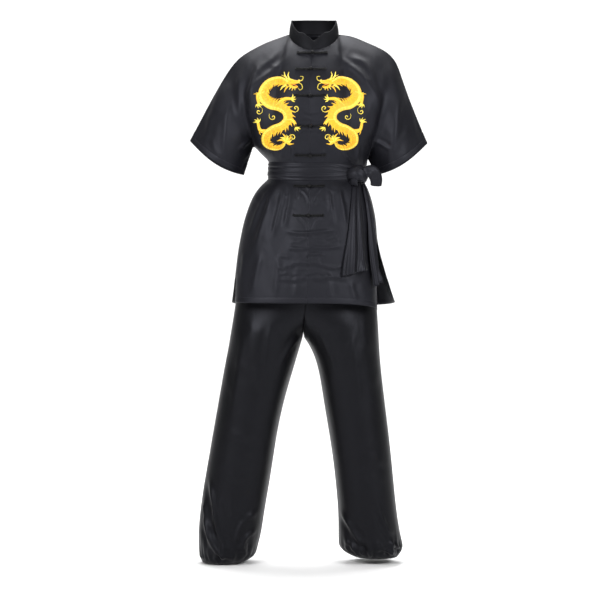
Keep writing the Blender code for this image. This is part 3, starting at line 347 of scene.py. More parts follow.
class UniformStage(bpy.types.PropertyGroup):
    """Floor, lights and camera."""

    floor: colour("Floor colour", "Pale floor and backdrop", "#f4f4f4")
    sky: share("Ambient light", "Strength of the even light from all round", 0.28, 5.0)
    key: bpy.props.FloatProperty(name="Key light", description="Power of the main light", default=125.0, unit="POWER")
    fill: bpy.props.FloatProperty(name="Fill light", description="Power of the side light", default=95.0, unit="POWER")
    top: bpy.props.FloatProperty(name="Top light", description="Power of the light above", default=12.0, unit="POWER")
    wall: bpy.props.FloatProperty(name="Backdrop light", description="Power of the backdrop's light", default=420.0, unit="POWER")
    distance: length("Camera distance", "From the camera to the origin's plane", 5.0)


# Materials


def add(tree, kind, settings=None, values=None, links=None):
    """Adds a node with its settings, its socket values and its links from (node, output) pairs."""
    node = tree.nodes.new(kind)
    for name, value in (settings or {}).items():
        setattr(node, name, value)
    for name, value in (values or {}).items():
        node.inputs[name].default_value = value
    for name, (source, output) in (links or {}).items():
        tree.links.new(source.outputs[output], node.inputs[name])
    return node


WAVE_TURN = math.pi / 10  # a wave texture of scale 1 repeats every pi / 10 metres


def new_material(name):
    made = bpy.data.materials.new(name)
    made.use_nodes = True
    return made, made.node_tree, made.node_tree.nodes["Principled BSDF"]


def woven_satin(name, shade, light, roughness, crinkle_depth, stretch, shine):
    """Polyester satin, woven with long floats: a soft gloss that breaks at each crease, faint ribs, and a slight
    random drift of the base colour between a shaded and a lit tone, which is painted sheen."""
    cloth = bpy.context.scene.uniform_cloth
    made, tree, shader = new_material(name)
    place = add(tree, "ShaderNodeTexCoord")
    tone = add(tree, "ShaderNodeTexNoise", None, {"Scale": 14.0, "Detail": 4.0}, {"Vector": (place, "Object")})
    # painted sheen: the base colour wanders at random between the shaded tone and the lit one
    mix = add(tree, "ShaderNodeMix", {"data_type": "RGBA"}, {6: shade, 7: light}, {0: (tone, 0)})
    tree.links.new(mix.outputs[2], shader.inputs["Base Color"])
    gloss = add(
        tree, "ShaderNodeMapRange", None, {"To Min": roughness - 0.05, "To Max": roughness + 0.07}, {0: (tone, 0)}
    )
    tree.links.new(gloss.outputs[0], shader.inputs["Roughness"])
    shader.inputs["Specular IOR Level"].default_value = shine
    shader.inputs["Specular Tint"].default_value = linear("#e8eafa")
    shader.inputs["Sheen Weight"].default_value = 0.02
    shader.inputs["Sheen Roughness"].default_value = 0.35
    shader.inputs["Sheen Tint"].default_value = linear("#c8c8d8")

    drawn = add(tree, "ShaderNodeMapping", None, {"Scale": stretch}, {"Vector": (place, "Object")})
    creases = add(
        tree,
        "ShaderNodeTexNoise",
        None,
        {"Scale": 1 / cloth.crinkle, "Detail": 3.0, "Roughness": 0.45, "Distortion": 0.6},
        {"Vector": (drawn, 0)},
    )
    soft = add(
        tree, "ShaderNodeBump", None, {"Strength": 0.6, "Distance": crinkle_depth}, {"Height": (creases, 0)}
    )
    rib = {"Scale": WAVE_TURN / cloth.thread, "Distortion": 1.2, "Detail": 1.0, "Detail Scale": 2.0}
    warp = add(tree, "ShaderNodeTexWave", {"bands_direction": "X"}, rib, {"Vector": (place, "Object")})
    weft = add(tree, "ShaderNodeTexWave", {"bands_direction": "Z"}, rib, {"Vector": (place, "Object")})
    both = add(tree, "ShaderNodeMath", {"operation": "MULTIPLY"}, None, {0: (warp, 1), 1: (weft, 1)})
    fine = add(
        tree,
        "ShaderNodeBump",
        None,
        {"Strength": 0.2, "Distance": 0.00008},
        {"Height": (both, 0), "Normal": (soft, 0)},
    )
    tree.links.new(fine.outputs[0], shader.inputs["Normal"])
    return made


def satin_stitch(name, tone):
    """Rayon embroidery thread laid in satin stitch: close glossy strands across each shape, so the light runs
    along it in fine lines."""
    made, tree, shader = new_material(name)
    place = add(tree, "ShaderNodeUVMap")
    strands = add(
        tree,
        "ShaderNodeTexWave",
        {"bands_direction": "X"},
        {"Scale": WAVE_TURN / 0.0007, "Distortion": 0.8, "Detail": 1.0},
        {"Vector": (place, 0)},
    )
    dark = tuple(c * 0.62 for c in tone[:3]) + (1.0,)
    mix = add(tree, "ShaderNodeMix", {"data_type": "RGBA"}, {6: dark, 7: tuple(tone)}, {0: (strands, 1)})
    tree.links.new(mix.outputs[2], shader.inputs["Base Color"])
    shader.inputs["Roughness"].default_value = 0.42
    shader.inputs["Sheen Weight"].default_value = 0.1
    bump = add(tree, "ShaderNodeBump", None, {"Strength": 0.5, "Distance": 0.0002}, {"Height": (strands, 1)})
    tree.links.new(bump.outputs[0], shader.inputs["Normal"])
    return made


def braided_cord(name, tone):
    """Black rayon soutache cord: a tight braid with slanted strands and little gloss."""
    made, tree, shader = new_material(name)
    place = add(tree, "ShaderNodeUVMap")
    slant = add(tree, "ShaderNodeMapping", None, {"Rotation": (0.0, 0.0, math.radians(35))}, {"Vector": (place, 0)})
    strands = add(
        tree,
        "ShaderNodeTexWave",
        {"bands_direction": "X"},
        {"Scale": WAVE_TURN / 0.0011},
        {"Vector": (slant, 0)},
    )
    lit = tuple(min(1.0, c * 2.2) for c in tone[:3]) + (1.0,)
    mix = add(tree, "ShaderNodeMix", {"data_type": "RGBA"}, {6: tuple(tone), 7: lit}, {0: (strands, 1)})
    tree.links.new(mix.outputs[2], shader.inputs["Base Color"])
    shader.inputs["Roughness"].default_value = 0.6
    shader.inputs["Specular IOR Level"].default_value = 0.2
    bump = add(tree, "ShaderNodeBump", None, {"Strength": 0.6, "Distance": 0.0004}, {"Height": (strands, 1)})
    tree.links.new(bump.outputs[0], shader.inputs["Normal"])
    return made


# Shapes


def finish_piece(obj, material, slot, *nodes):
    """Gives a piece its material and ties it to the frame."""
    obj.data.materials.clear()
    obj.data.materials.append(material)
    obj.data.shade_smooth()
    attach(obj, "root")
    if nodes:
        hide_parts(*nodes)
    return obj


def object_from(tool, name):
    """A mesh object from a bmesh, at the origin."""
    mesh = bpy.data.meshes.new(name)
    tool.to_mesh(mesh)
    tool.free()
    obj = bpy.data.objects.new(name, mesh)
    bpy.context.scene.collection.objects.link(obj)
    return obj


def applied(obj):
    """Makes an object's modifiers part of its mesh."""
    shaped = bpy.data.meshes.new_from_object(obj.evaluated_get(bpy.context.evaluated_depsgraph_get()))
    obj.modifiers.clear()
    obj.data = shaped
    return obj


def islands(tool):
    """Groups of faces joined by edges that aren't sharp."""
    left = set(tool.faces)
    groups = []
    while left:
        group, front = [], [left.pop()]
        while front:
            face = front.pop()
            group.append(face)
            for edge in face.edges:
                if edge.calc_face_angle(0.0) > RIM_ANGLE:
                    continue
                for near in edge.link_faces:
                    if near in left:
                        left.remove(near)
                        front.append(near)
        groups.append(group)
    return groups


def outwardness(faces):
    """How much a group of faces turns away from its own middle."""
    middle = sum((f.calc_center_median() for f in faces), Vector()) / len(faces)
    return sum(f.calc_area() * f.normal.dot(f.calc_center_median() - middle) for f in faces)


def smoothed(obj, levels):
    """Subdivides an object smoothly, corners kept."""
    smooth = obj.modifiers.new("Smooth", "SUBSURF")
    smooth.levels = smooth.render_levels = levels
    smooth.boundary_smooth = "PRESERVE_CORNERS"
    return applied(obj)


def quads(tool):
    bmesh.ops.join_triangles(
        tool,
        faces=tool.faces,
        angle_face_threshold=math.radians(70),
        angle_shape_threshold=math.radians(180),
    )


def merged_copy(node):
    tool = bmesh.new()
    tool.from_mesh(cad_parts[node].data)
    bmesh.ops.remove_doubles(tool, verts=tool.verts, dist=MERGE)
    tool.normal_update()
    return tool


def outer_sheet(name, node, levels=SMOOTH_LEVELS, toward=None):
    """The outer wall of a panel's solid as one smooth sheet, or the wall that faces a given way."""
    tool = merged_copy(node)
    if toward is None:
        keep = set(max(islands(tool), key=outwardness))
    else:
        keep = set(max(islands(tool), key=lambda faces: sum(f.calc_area() * f.normal.dot(toward) for f in faces)))
    bmesh.ops.delete(tool, geom=[f for f in tool.faces if f not in keep], context="FACES")
    quads(tool)
    obj = smoothed(object_from(tool, name), levels)
    close_seams(obj)
    return obj


def close_seams(obj):
    """Moves a sheet's free edges outwards by the seam's play, so that neighbouring panels meet."""
    tool = bmesh.new()
    tool.from_mesh(obj.data)
    moves = {}
    for edge in tool.edges:
        if not edge.is_boundary:
            continue
        loop = edge.link_loops[0]
        run = (loop.link_loop_next.vert.co - loop.vert.co).normalized()
        out = run.cross(loop.face.normal)
        for vert in edge.verts:
            moves[vert] = moves.get(vert, Vector()) + out
    for vert, out in moves.items():
        vert.co += out.normalized() * SEAM_PLAY
    tool.to_mesh(obj.data)
    tool.free()
    obj.data.update()


def solid_copy(name, node, levels=2):
    """The whole of a small solid as one smooth closed mesh."""
    tool = merged_copy(node)
    quads(tool)
    return smoothed(object_from(tool, name), levels)


def points_and_normals(obj):
    count = len(obj.data.vertices)
    points = np.empty(count * 3)
    normals = np.empty(count * 3)
    obj.data.vertices.foreach_get("co", points)
    obj.data.vertex_normals.foreach_get("vector", normals)
    return points.reshape(-1, 3), normals.reshape(-1, 3)


def set_points(obj, points):
    obj.data.vertices.foreach_set("co", points.ravel())
    obj.data.update()


def free_edge(obj):
    """Places of the vertices on a sheet's free edges."""
    tool = bmesh.new()
    tool.from_mesh(obj.data)
    places = [v.co.copy() for v in tool.verts if v.is_boundary]
    tool.free()
    return places


def distance_to(points, places):
    """Distance of each point from the nearest of some places."""
    tree = KDTree(len(places))
    for n, place in enumerate(places):
        tree.insert(place, n)
    tree.balance()
    return np.array([tree.find(point)[2] for point in points])


def eased(values):
    values = np.clip(values, 0.0, 1.0)
    return values * values * (3 - 2 * values)


def smooth_line(points, steps=8):
    """A curve through points with its knots evenly filled in."""
    points = [np.asarray(p, float) for p in points]
    if len(points) < 3:
        return np.array([points[0] + (points[-1] - points[0]) * k / steps for k in range(steps + 1)])
    padded = [2 * points[0] - points[1], *points, 2 * points[-1] - points[-2]]
    line = []
    for a, b, c, d in zip(padded, padded[1:], padded[2:], padded[3:]):
        for k in range(steps):
            t = k / steps
            line.append(
                0.5 * (2 * b + (c - a) * t + (2 * a - 5 * b + 4 * c - d) * t**2 + (3 * b - a - 3 * c + d) * t**3)
            )
    line.append(points[-1])
    return np.array(line)


def fold_lift(points, folds):
    """Height of some folds over each point: a ridge with a shallower trough on its right."""
    lift = np.zeros(len(points))
    flat = points[:, (0, 2)] / MM
    for fold in folds:
        line = smooth_line(fold.line)
        reach = 5 * fold.width
        low, high = line.min(axis=0) - reach, line.max(axis=0) + reach
        near = np.flatnonzero(((flat > low) & (flat < high)).all(axis=1))
        if not len(near):
            continue
        places = flat[near]
        best = np.full(len(near), 1e9)
        signed = np.zeros(len(near))
        travelled = np.zeros(len(near))
        total = np.linalg.norm(np.diff(line, axis=0), axis=1).sum()
        so_far = 0.0
        for start, end in zip(line, line[1:]):
            step = end - start
            size = np.hypot(*step)
            if size < 1e-9:
                continue
            t = np.clip((places - start) @ step / size**2, 0.0, 1.0)
            offset = places - start - t[:, None] * step
            gap = np.hypot(offset[:, 0], offset[:, 1])
            closer = gap < best
            best[closer] = gap[closer]
            cross = step[0] * offset[:, 1] - step[1] * offset[:, 0]
            signed[closer] = (np.sign(cross) * gap)[closer]
            travelled[closer] = ((so_far + t * size) / total)[closer]
            so_far += size
        taper = eased(np.minimum(travelled, 1 - travelled) / 0.28)
        ridge = np.exp(-((signed / fold.width) ** 2))
        trough = 0.6 * np.exp(-(((signed + 2.0 * fold.width) / (1.3 * fold.width)) ** 2))
        end_gap = np.exp(-((np.maximum(best - np.abs(signed), 0.0) / fold.width) ** 2))
        lift[near] += fold.height * MM * taper * end_gap * (ridge - trough)
    return lift


def crease_folds(fields, seed):
    """Small creases scattered over some fields, the same each time."""
    chance = random.Random(seed)
    folds = []
    for field in fields:
        for _ in range(field.count):
            x = field.x + chance.uniform(-1, 1) * field.spread_x
            z = field.z + chance.uniform(-1, 1) * field.spread_z
            angle = math.radians(field.angle + chance.uniform(-1, 1) * field.turn)
            half = field.length * chance.uniform(0.35, 0.75)
            run = np.array([math.cos(angle), math.sin(angle)]) * half
            bend = np.array([-run[1], run[0]]) * chance.uniform(-0.3, 0.3)
            middle = np.array([x, z])
            width = field.width * chance.uniform(0.75, 1.4)
            height = field.height * chance.uniform(0.4, 1.2)
            folds.append(Fold((middle - run, middle + bend, middle + run), height, width))
    return folds


def ring_edges(points, centre, bins=72):
    """Lowest and highest place round a ring of cloth, by angle about its centre."""
    angles = np.arctan2(points[:, 1] - centre[1], points[:, 0] - centre[0])
    at = (np.arange(bins) + 0.5) / bins * 2 * math.pi - math.pi
    slots = ((angles + math.pi) / (2 * math.pi) * bins).astype(int) % bins
    held = [k for k in range(bins) if (slots == k).any()]
    low = [points[slots == k, 2].min() for k in held]
    high = [points[slots == k, 2].max() for k in held]
    return tuple(np.interp(at, at[held], ends, period=2 * math.pi) for ends in (low, high))


def height_in_ring(points, centre, edges):
    """Angle of each point about a centre, and its height as a share of a ring of cloth there."""
    low, high = edges
    bins = len(low)
    angles = np.arctan2(points[:, 1] - centre[1], points[:, 0] - centre[0])
    at = (np.arange(bins) + 0.5) / bins * 2 * math.pi - math.pi
    bottom = np.interp(angles, at, low, period=2 * math.pi)
    top = np.interp(angles, at, high, period=2 * math.pi)
    return angles, (points[:, 2] - bottom) / (top - bottom)


def with_wall(obj, thickness, rim_only=False):
    """Gives a sheet its thickness, inwards."""
    wall = obj.modifiers.new("Wall", "SOLIDIFY")
    wall.thickness = thickness
    wall.offset = -1.0
    wall.use_rim_only = rim_only
    wall.use_quality_normals = True
    return applied(obj)


class Cloth:
    """The dressed outer faces of some pieces, for laying trim on."""

    def __init__(self, *objects):
        vertices, faces = [], []
        for obj in objects:
            base = len(vertices)
            vertices += [v.co.copy() for v in obj.data.vertices]
            faces += [[base + n for n in p.vertices] for p in obj.data.polygons]
        self.tree = BVHTree.FromPolygons(vertices, faces)

    def lay(self, x, z, lift, face=FRONT):
        """The place over the cloth seen from the front or back, lifted off it."""
        place, normal, _, _ = self.tree.ray_cast(Vector((x, face * FAR, z)), Vector((0, -face, 0)))
        if place is None:
            return None
        if normal.y * face < 0:
            normal = -normal
        return place + normal * lift


def grid_band(tool, lengthwise, across, place, tone=0):
    """A grid of faces whose corners are put at place(u, v), both 0 to 1; returns its vertices."""
    uv = tool.loops.layers.uv.verify()
    made = bmesh.ops.create_grid(tool, x_segments=lengthwise, y_segments=across, size=1.0)
    where = {}
    for vert in made["verts"]:
        u, v = (vert.co.x + 1) / 2, (vert.co.y + 1) / 2
        spot, mark = place(u, v)
        where[vert] = mark
        vert.co = spot
    for face in {f for vert in made["verts"] for f in vert.link_faces}:
        face.material_index = tone
        for loop in face.loops:
            loop[uv].uv = where[loop.vert]
    return made["verts"]


def tube(tool, line, radius, sides=8, taper=True):
    """A round cord along a line of points, closed to points at its ends."""
    line = [Vector(p) for p in line]
    steps = len(line) - 1
    runs = [(line[min(n + 1, steps)] - line[max(n - 1, 0)]).normalized() for n in range(steps + 1)]
    side = runs[0].orthogonal().normalized()
    frames = []
    for run in runs:
        side = (side - run * side.dot(run)).normalized()
        frames.append((side, run.cross(side)))
    lengths = [0.0]
    for a, b in zip(line, line[1:]):
        lengths.append(lengths[-1] + (b - a).length)

    def place(u, v):
        n = round(u * steps)
        thin = 0.35 if taper and n in (0, steps) else 1.0
        angle = 2 * math.pi * v
        a, b = frames[n]
        spot = line[n] + (a * math.cos(angle) + b * math.sin(angle)) * radius * thin
        return spot, (lengths[n], v * 2 * math.pi * radius)

    return grid_band(tool, steps, sides, place)


def welded(tool):
    """Joins the seams of round bands, closes their ends and turns every face outwards."""
    bmesh.ops.remove_doubles(tool, verts=tool.verts, dist=MERGE)
    bmesh.ops.holes_fill(tool, edges=[e for e in tool.edges if e.is_boundary], sides=0)
    bmesh.ops.recalc_face_normals(tool, faces=tool.faces)
    return tool


def strap(tool, line, widths, thick, centre, pleats):
    """A flattened roll of cloth along a line, its flat side turned to a centre, with lengthwise pleats."""
    line = smooth_line(line, 8)
    steps = len(line) - 1
    widths = widths_at(widths, steps + 1)
    lengths = np.concatenate(([0.0], np.cumsum(np.linalg.norm(np.diff(line, axis=0), axis=1))))
    runs = np.gradient(line, axis=0)
    frames = []
    for spot, run in zip(line, runs):
        run = Vector(run).normalized()
        out = Vector(spot) - centre
        out = (out - run * out.dot(run)).normalized()
        frames.append((run.cross(out), out))

    def place(u, v):
        n = round(u * steps)
        angle = 2 * math.pi * v
        side, out = frames[n]
        end = 0.6 if n in (0, steps) else 1.0
        ripple = 1 + 0.12 * math.cos(pleats * angle + 1.7 * u)
        spot = side * math.cos(angle) * widths[n] / 2 + out * math.sin(angle) * thick / 2 * ripple
        return Vector(line[n]) + spot * end, (lengths[n], v * widths[n] * 2)

    grid_band(tool, steps, 40, place)


# Pieces


def sash_ring():
    """Centre and edges of the sash round the waist, from its solid."""
    points = np.array([v.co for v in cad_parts["sash_band"].data.vertices])
    low, high = points.min(axis=0), points.max(axis=0)
    centre = (low + high) / 2
    return centre, ring_edges(points, centre, 36)


def clear_of_sash(points):
    """0 under the sash and 1 well away from it, where folds are free to stand."""
    centre, edges = sash_ring()
    _, height = height_in_ring(points, centre, edges)
    return eased((np.abs(height - 0.5) - 0.55) / 0.35)


def mouth_distance(points, side):
    """Distance of each point from a sleeve mouth's straight line, seen from the front."""
    start, end = (np.array(p) * MM for p in SLEEVE_MOUTHS[side])
    step = end - start
    flat = points[:, (0, 2)] - start
    t = np.clip(flat @ step / (step @ step), 0.0, 1.0)
    return np.linalg.norm(flat - t[:, None] * step, axis=1)


def hem_lift(points, places, depth):
    """A turned hem: a slightly thicker band with a stitched groove along its top."""
    places = [p for p in places]
    if not places:
        return np.zeros(len(points))
    gap = distance_to(points, places)
    band = 0.0006 * (1 - eased((gap - depth + 0.001) / 0.002))
    groove = -0.0009 * np.exp(-(((gap - depth) / 0.0016) ** 2))
    return band + groove


def hem_places(edge):
    """The free-edge places that are hems: the skirt's and both sleeve mouths'."""
    points = np.array([tuple(p) for p in edge])
    near = points[:, 2] < HEM_BELOW * MM
    for side, _ in SIDES:
        near |= mouth_distance(points, side) < 0.02
    return [edge[n] for n in np.flatnonzero(near) if not at_opening(edge[n])]


def seam_places(edge, hems):
    """The free-edge places that are seams: neither hems nor the front opening."""
    hem = {tuple(p) for p in hems}
    return [p for p in edge if tuple(p) not in hem and not at_opening(p)]


def at_opening(place):
    """Whether a place on a front is beside the front opening."""
    middle = float(np.interp(place.z / MM, *zip(*MIDDLE_LINE))) * MM
    return place.y < 0 and abs(place.x - middle) < 0.006


def ankle_gathers(points):
    """Upright gathers that fade out above each elastic cuff."""
    lift = np.zeros(len(points))
    for _, word in SIDES:
        low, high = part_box("cuff_" + word)
        centre = (low + high) / 2
        beside = np.hypot(points[:, 0] - centre.x, points[:, 1] - centre.y) < 0.14
        above = points[:, 2] - high.z
        angles = np.arctan2(points[:, 1] - centre.y, points[:, 0] - centre.x)
        uneven = 26 * angles + 1.8 * np.sin(3 * angles) + 14 * above
        reach = eased((above + 0.004) / 0.012) * np.exp(-np.maximum(above, 0.0) / 0.028)
        lift += np.where(beside, 0.0026 * np.sin(uneven) * reach, 0.0)
    return lift


def dressed_panel(name, node, folds, levels, is_jacket, gain=1.0):
    """A jacket or trouser panel with its folds and hems, not yet thickened."""
    cloth = bpy.context.scene.uniform_cloth
    obj = outer_sheet(name, node, levels)
    points, normals = points_and_normals(obj)
    edge = free_edge(obj)
    hems = hem_places(edge) if is_jacket else []
    fade = eased(distance_to(points, seam_places(edge, hems)) / EDGE_FADE)
    facing = eased(np.abs(normals[:, 1]) / 0.45)
    free = clear_of_sash(points)
    lift = fold_lift(points, folds) * gain * cloth.fold_height * fade * facing * free
    if is_jacket:
        lift += hem_lift(points, hems, cloth.hem_depth)
    else:
        lift += ankle_gathers(points)
    set_points(obj, points + normals * lift[:, None])
    return obj


class UNIFORM_OT_jacket(bpy.types.Operator):
    """Two fronts and the back, with cut-on sleeves, folds and stitched hems"""

    bl_idname = "uniform.jacket"
    bl_label = "Jacket"

    def execute(self, context):
        cloth = context.scene.uniform_cloth
        satin = woven_satin(
            "Black polyester satin", cloth.jacket_shade, cloth.jacket_light, 0.52, 0.0006, (1.0, 1.0, 0.5), 0.26
        )
        front = CHEST_FOLDS + SKIRT_FOLDS + tuple(crease_folds(FRONT_CREASES, 11))
        back = BACK_FOLDS + tuple(crease_folds(BACK_CREASES, 23))
        rows = (
            ("jacket_front_right", front, FRONT_LEVELS),
            ("jacket_front_left", front, FRONT_LEVELS),
            ("jacket_back", back, SMOOTH_LEVELS),
        )
        for name, folds, levels in rows:
            obj = dressed_panel("satin_" + name, name, folds, levels, True)
            finish_piece(obj, satin, "jacket_satin", name)
        return {"FINISHED"}


class UNIFORM_OT_collar(bpy.types.Operator):
    """The stand collar with its notch"""

    bl_idname = "uniform.collar"
    bl_label = "Collar"

    def execute(self, context):
        cloth = context.scene.uniform_cloth
        matter = woven_satin(
            "Interfaced black collar cloth", cloth.collar_shade, cloth.collar_shade, 0.6, 0.0006, (1.0, 1.0, 1.0), 0.16
        )
        obj = outer_sheet("collar_stand", "collar")
        points, normals = points_and_normals(obj)
        gap = distance_to(points, free_edge(obj))
        lift = -0.0005 * np.exp(-(((gap - 0.004) / 0.0012) ** 2))
        points += normals * lift[:, None]
        centre = (points.min(axis=0) + points.max(axis=0)) / 2
        angles, height = height_in_ring(points, centre, ring_edges(points, centre))
        from_front = np.abs(angles + math.pi / 2)
        rise = 0.0085 * np.exp(-(((from_front - 0.47) / 0.24) ** 2)) - 0.005 * np.exp(-((from_front / 0.13) ** 2))
        points[:, 2] += rise * eased(height)
        set_points(obj, points)
        with_wall(obj, cloth.collar_wall)
        finish_piece(obj, matter, "collar_satin", "collar")
        return {"FINISHED"}


class UNIFORM_OT_trousers(bpy.types.Operator):
    """Four trouser panels, the waistband and the ankle cuffs"""

    bl_idname = "uniform.trousers"
    bl_label = "Trousers"

    def execute(self, context):
        cloth = context.scene.uniform_cloth
        satin = woven_satin(
            "Black trouser satin", cloth.trouser_shade, cloth.trouser_light, 0.44, 0.0007, (1.0, 1.0, 0.4), 0.17
        )
        front = LEG_FOLDS + tuple(crease_folds(LEG_CREASES, 31))
        back = BACK_LEG_FOLDS + tuple(crease_folds(LEG_CREASES, 37))
        for face, folds in (("front", front), ("back", back)):
            for _, word in SIDES:
                node = f"trouser_{face}_{word}"
                obj = dressed_panel("satin_" + node, node, folds, SMOOTH_LEVELS, False, LEG_GAIN)
                with_wall(obj, cloth.wall)
                finish_piece(obj, satin, "trouser_satin", node)
        self.ribbed("elastic_waistband", "waistband", 64, 0.0006, satin)
        for _, word in SIDES:
            self.ribbed("elastic_cuff_" + word, "cuff_" + word, 30, 0.0005, satin)
        return {"FINISHED"}

    def ribbed(self, name, node, ribs, depth, satin):
        """A ring of cloth gathered on elastic into upright ribs."""
        obj = outer_sheet(name, node)
        points, normals = points_and_normals(obj)
        centre = (points.min(axis=0) + points.max(axis=0)) / 2
        angles = np.arctan2(points[:, 1] - centre[1], points[:, 0] - centre[0])
        uneven = ribs * angles + 1.5 * np.sin(3 * angles)
        set_points(obj, points + normals * (depth * (np.sin(uneven) - 1.0))[:, None])
        with_wall(obj, bpy.context.scene.uniform_cloth.wall)
        finish_piece(obj, satin, "trouser_satin", node)


class UNIFORM_OT_sash(bpy.types.Operator):
    """The sash's pleated band, its knot, its loop and its two tails"""

    bl_idname = "uniform.sash"
    bl_label = "Sash"

    def execute(self, context):
        cloth = context.scene.uniform_cloth
        satin = woven_satin("Charcoal sash satin", cloth.sash_shade, cloth.sash_light, 0.45, 0.0008, (0.5, 0.5, 1.4), 0.18)
        band = outer_sheet("sash_wrapped", "sash_band")
        points, normals = points_and_normals(band)
        centre = (points.min(axis=0) + points.max(axis=0)) / 2
        angles, height = height_in_ring(points, centre, ring_edges(points, centre))
        lift = np.zeros(len(points))
        for pleat in PLEATS:
            drawn = 1 - 0.5 * np.exp(-(((angles - KNOT_ANGLE) / 0.45) ** 2))
            line = 0.5 + (pleat.height - 0.5) * drawn + pleat.drift * np.sin(2 * angles + pleat.phase)
            step = (height - line) / pleat.width
            lift -= pleat.depth * MM * np.exp(-(step**2)) * (0.75 + 0.25 * np.sin(3 * angles + pleat.phase))
        set_points(band, points + normals * lift[:, None])
        with_wall(band, cloth.wall)
        finish_piece(band, satin, "sash_satin", "sash_band")
        self.knot(satin)
        for name, toward, across, pleats, phase in TAILS:
            self.tail(name, Vector(toward), across, pleats, phase, satin)
        return {"FINISHED"}

    def knot(self, satin):
        """The knot's crossing wraps, and the stub of sash that comes out of it in a loop."""
        low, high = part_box("sash_knot")
        centre = (low + high) / 2
        tool = bmesh.new()
        bmesh.ops.create_uvsphere(tool, u_segments=32, v_segments=20, radius=1.0)
        size = (high - low) / 2
        for vert in tool.verts:
            vert.co = centre + Vector((vert.co.x * size.x, vert.co.y * size.y, vert.co.z * size.z)) * 0.74
        for row in KNOT_WRAPS:
            line = [centre + Vector(p) * MM for p in row.line]
            strap(tool, line, [w * MM for w in row.widths], row.thick * MM, centre, row.pleats)
        finish_piece(object_from(welded(tool), "sash_tied_knot"), satin, "sash_satin", "sash_knot")
        tool = bmesh.new()
        line = [centre + Vector(p) * MM for p in STUB.line]
        inner = centre + Vector((25, 300, -40)) * MM
        strap(tool, line, [w * MM for w in STUB.widths], STUB.thick * MM, inner, STUB.pleats)
        finish_piece(object_from(welded(tool), "sash_stub_loop"), satin, "sash_satin", "sash_loop")

    def tail(self, name, toward, across, pleats, phase, satin):
        """A hanging end of the sash, pleated from the knot and fanning out to a slanted hem."""
        obj = outer_sheet(name + "_cloth", name, SMOOTH_LEVELS, toward)
        points, normals = points_and_normals(obj)
        low, high = points[:, 2].min(), points[:, 2].max()
        down = (high - points[:, 2]) / (high - low)
        slots = np.minimum((down * 24).astype(int), 23)
        at = (np.arange(24) + 0.5) / 24
        least = np.interp(down, at, [points[slots == k, across].min() for k in range(24)])
        most = np.interp(down, at, [points[slots == k, across].max() for k in range(24)])
        share_across = (points[:, across] - least) / (most - least)
        wave = 0.5 + 0.5 * np.cos(2 * math.pi * (pleats * share_across + 0.12 * np.sin(5 * down) + phase))
        points += normals * (wave**1.5 * (0.0022 + 0.0035 * down))[:, None]
        hem = eased((down - 0.8) / 0.2)
        points[:, 2] += 0.018 * hem * share_across
        curl = hem * np.exp(-(((share_across - 0.78) / 0.14) ** 2))
        points += normals * (0.006 * curl)[:, None]
        set_points(obj, points)
        with_wall(obj, 2 * bpy.context.scene.uniform_cloth.wall)
        finish_piece(obj, satin, "sash_satin", name)


class UNIFORM_OT_frogs(bpy.types.Operator):
    """Seven frogs, each a doubled cord on either front and a wound ball knot"""

    bl_idname = "uniform.frogs"
    bl_label = "Frogs"

    def execute(self, context):
        trim = context.scene.uniform_trim
        cord = braided_cord("Black soutache cord", trim.cord_colour)
        fronts = Cloth(*(bpy.data.objects["satin_jacket_front_" + word] for _, word in SIDES))
        for n in range(1, FROG_COUNT + 1):
            low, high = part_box(f"frog_{n}_knot")
            centre = (low + high) / 2
            for side, word in SIDES:
                node = f"frog_{n}_{word}"
                tool = bmesh.new()
                self.strap(tool, fronts, node, side, centre.x, trim)
                obj = object_from(welded(tool), f"frog_{n}_strap_{word}")
                finish_piece(obj, cord, "frog_cord", node)
            tool = bmesh.new()
            self.ball(tool, centre, (high.x - low.x) / 2)
            obj = object_from(welded(tool), f"frog_{n}_ball")
            finish_piece(obj, cord, "frog_cord", f"frog_{n}_knot")
        return {"FINISHED"}

    def strap(self, tool, fronts, node, side, x_mid, trim):
        """One cord out along the cloth, round in a small eye and back."""
        low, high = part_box(node)
        z = (low.z + high.z) / 2
        start = 0.003
        end = max(abs(low.x - x_mid), abs(high.x - x_mid))
        half = trim.cord_gap / 2
        outline = [(start, half), (start + 0.35 * (end - start), half * 0.9), (end - 0.006, half * 1.0)]
        outline += [(end - 0.0025, half * 1.5), (end - 0.0008, 0.0), (end - 0.0025, -half * 1.5)]
        outline += [(end - 0.006, -half * 1.0), (start + 0.35 * (end - start), -half * 0.9), (start, -half)]
        line = []
        for reach, rise in smooth_line(outline, 5):
            sag = 0.0016 * (reach / end) ** 2
            spot = fronts.lay(x_mid + side * reach, z + rise + sag, trim.cord * 0.8)
            if spot is not None:
                line.append(spot)
        tube(tool, line, trim.cord / 2)

    def ball(self, tool, centre, radius):
        """A knot of three cords wound over each other."""
        thick = radius * 0.42
        for n in range(3):
            tilt = math.radians(60 * n + 15)
            axis = Vector((math.cos(tilt), 0.25, math.sin(tilt))).normalized()
            a = axis.orthogonal().normalized()
            b = axis.cross(a)
            for shift in (-0.5, 0.5):
                ring = []
                for k in range(21):
                    angle = 2 * math.pi * k / 20
                    spot = a * math.cos(angle) + b * math.sin(angle)
                    ring.append(centre + spot * (radius - thick) * 0.92 + axis * shift * thick * 1.5)
                tube(tool, ring, thick, 8, False)


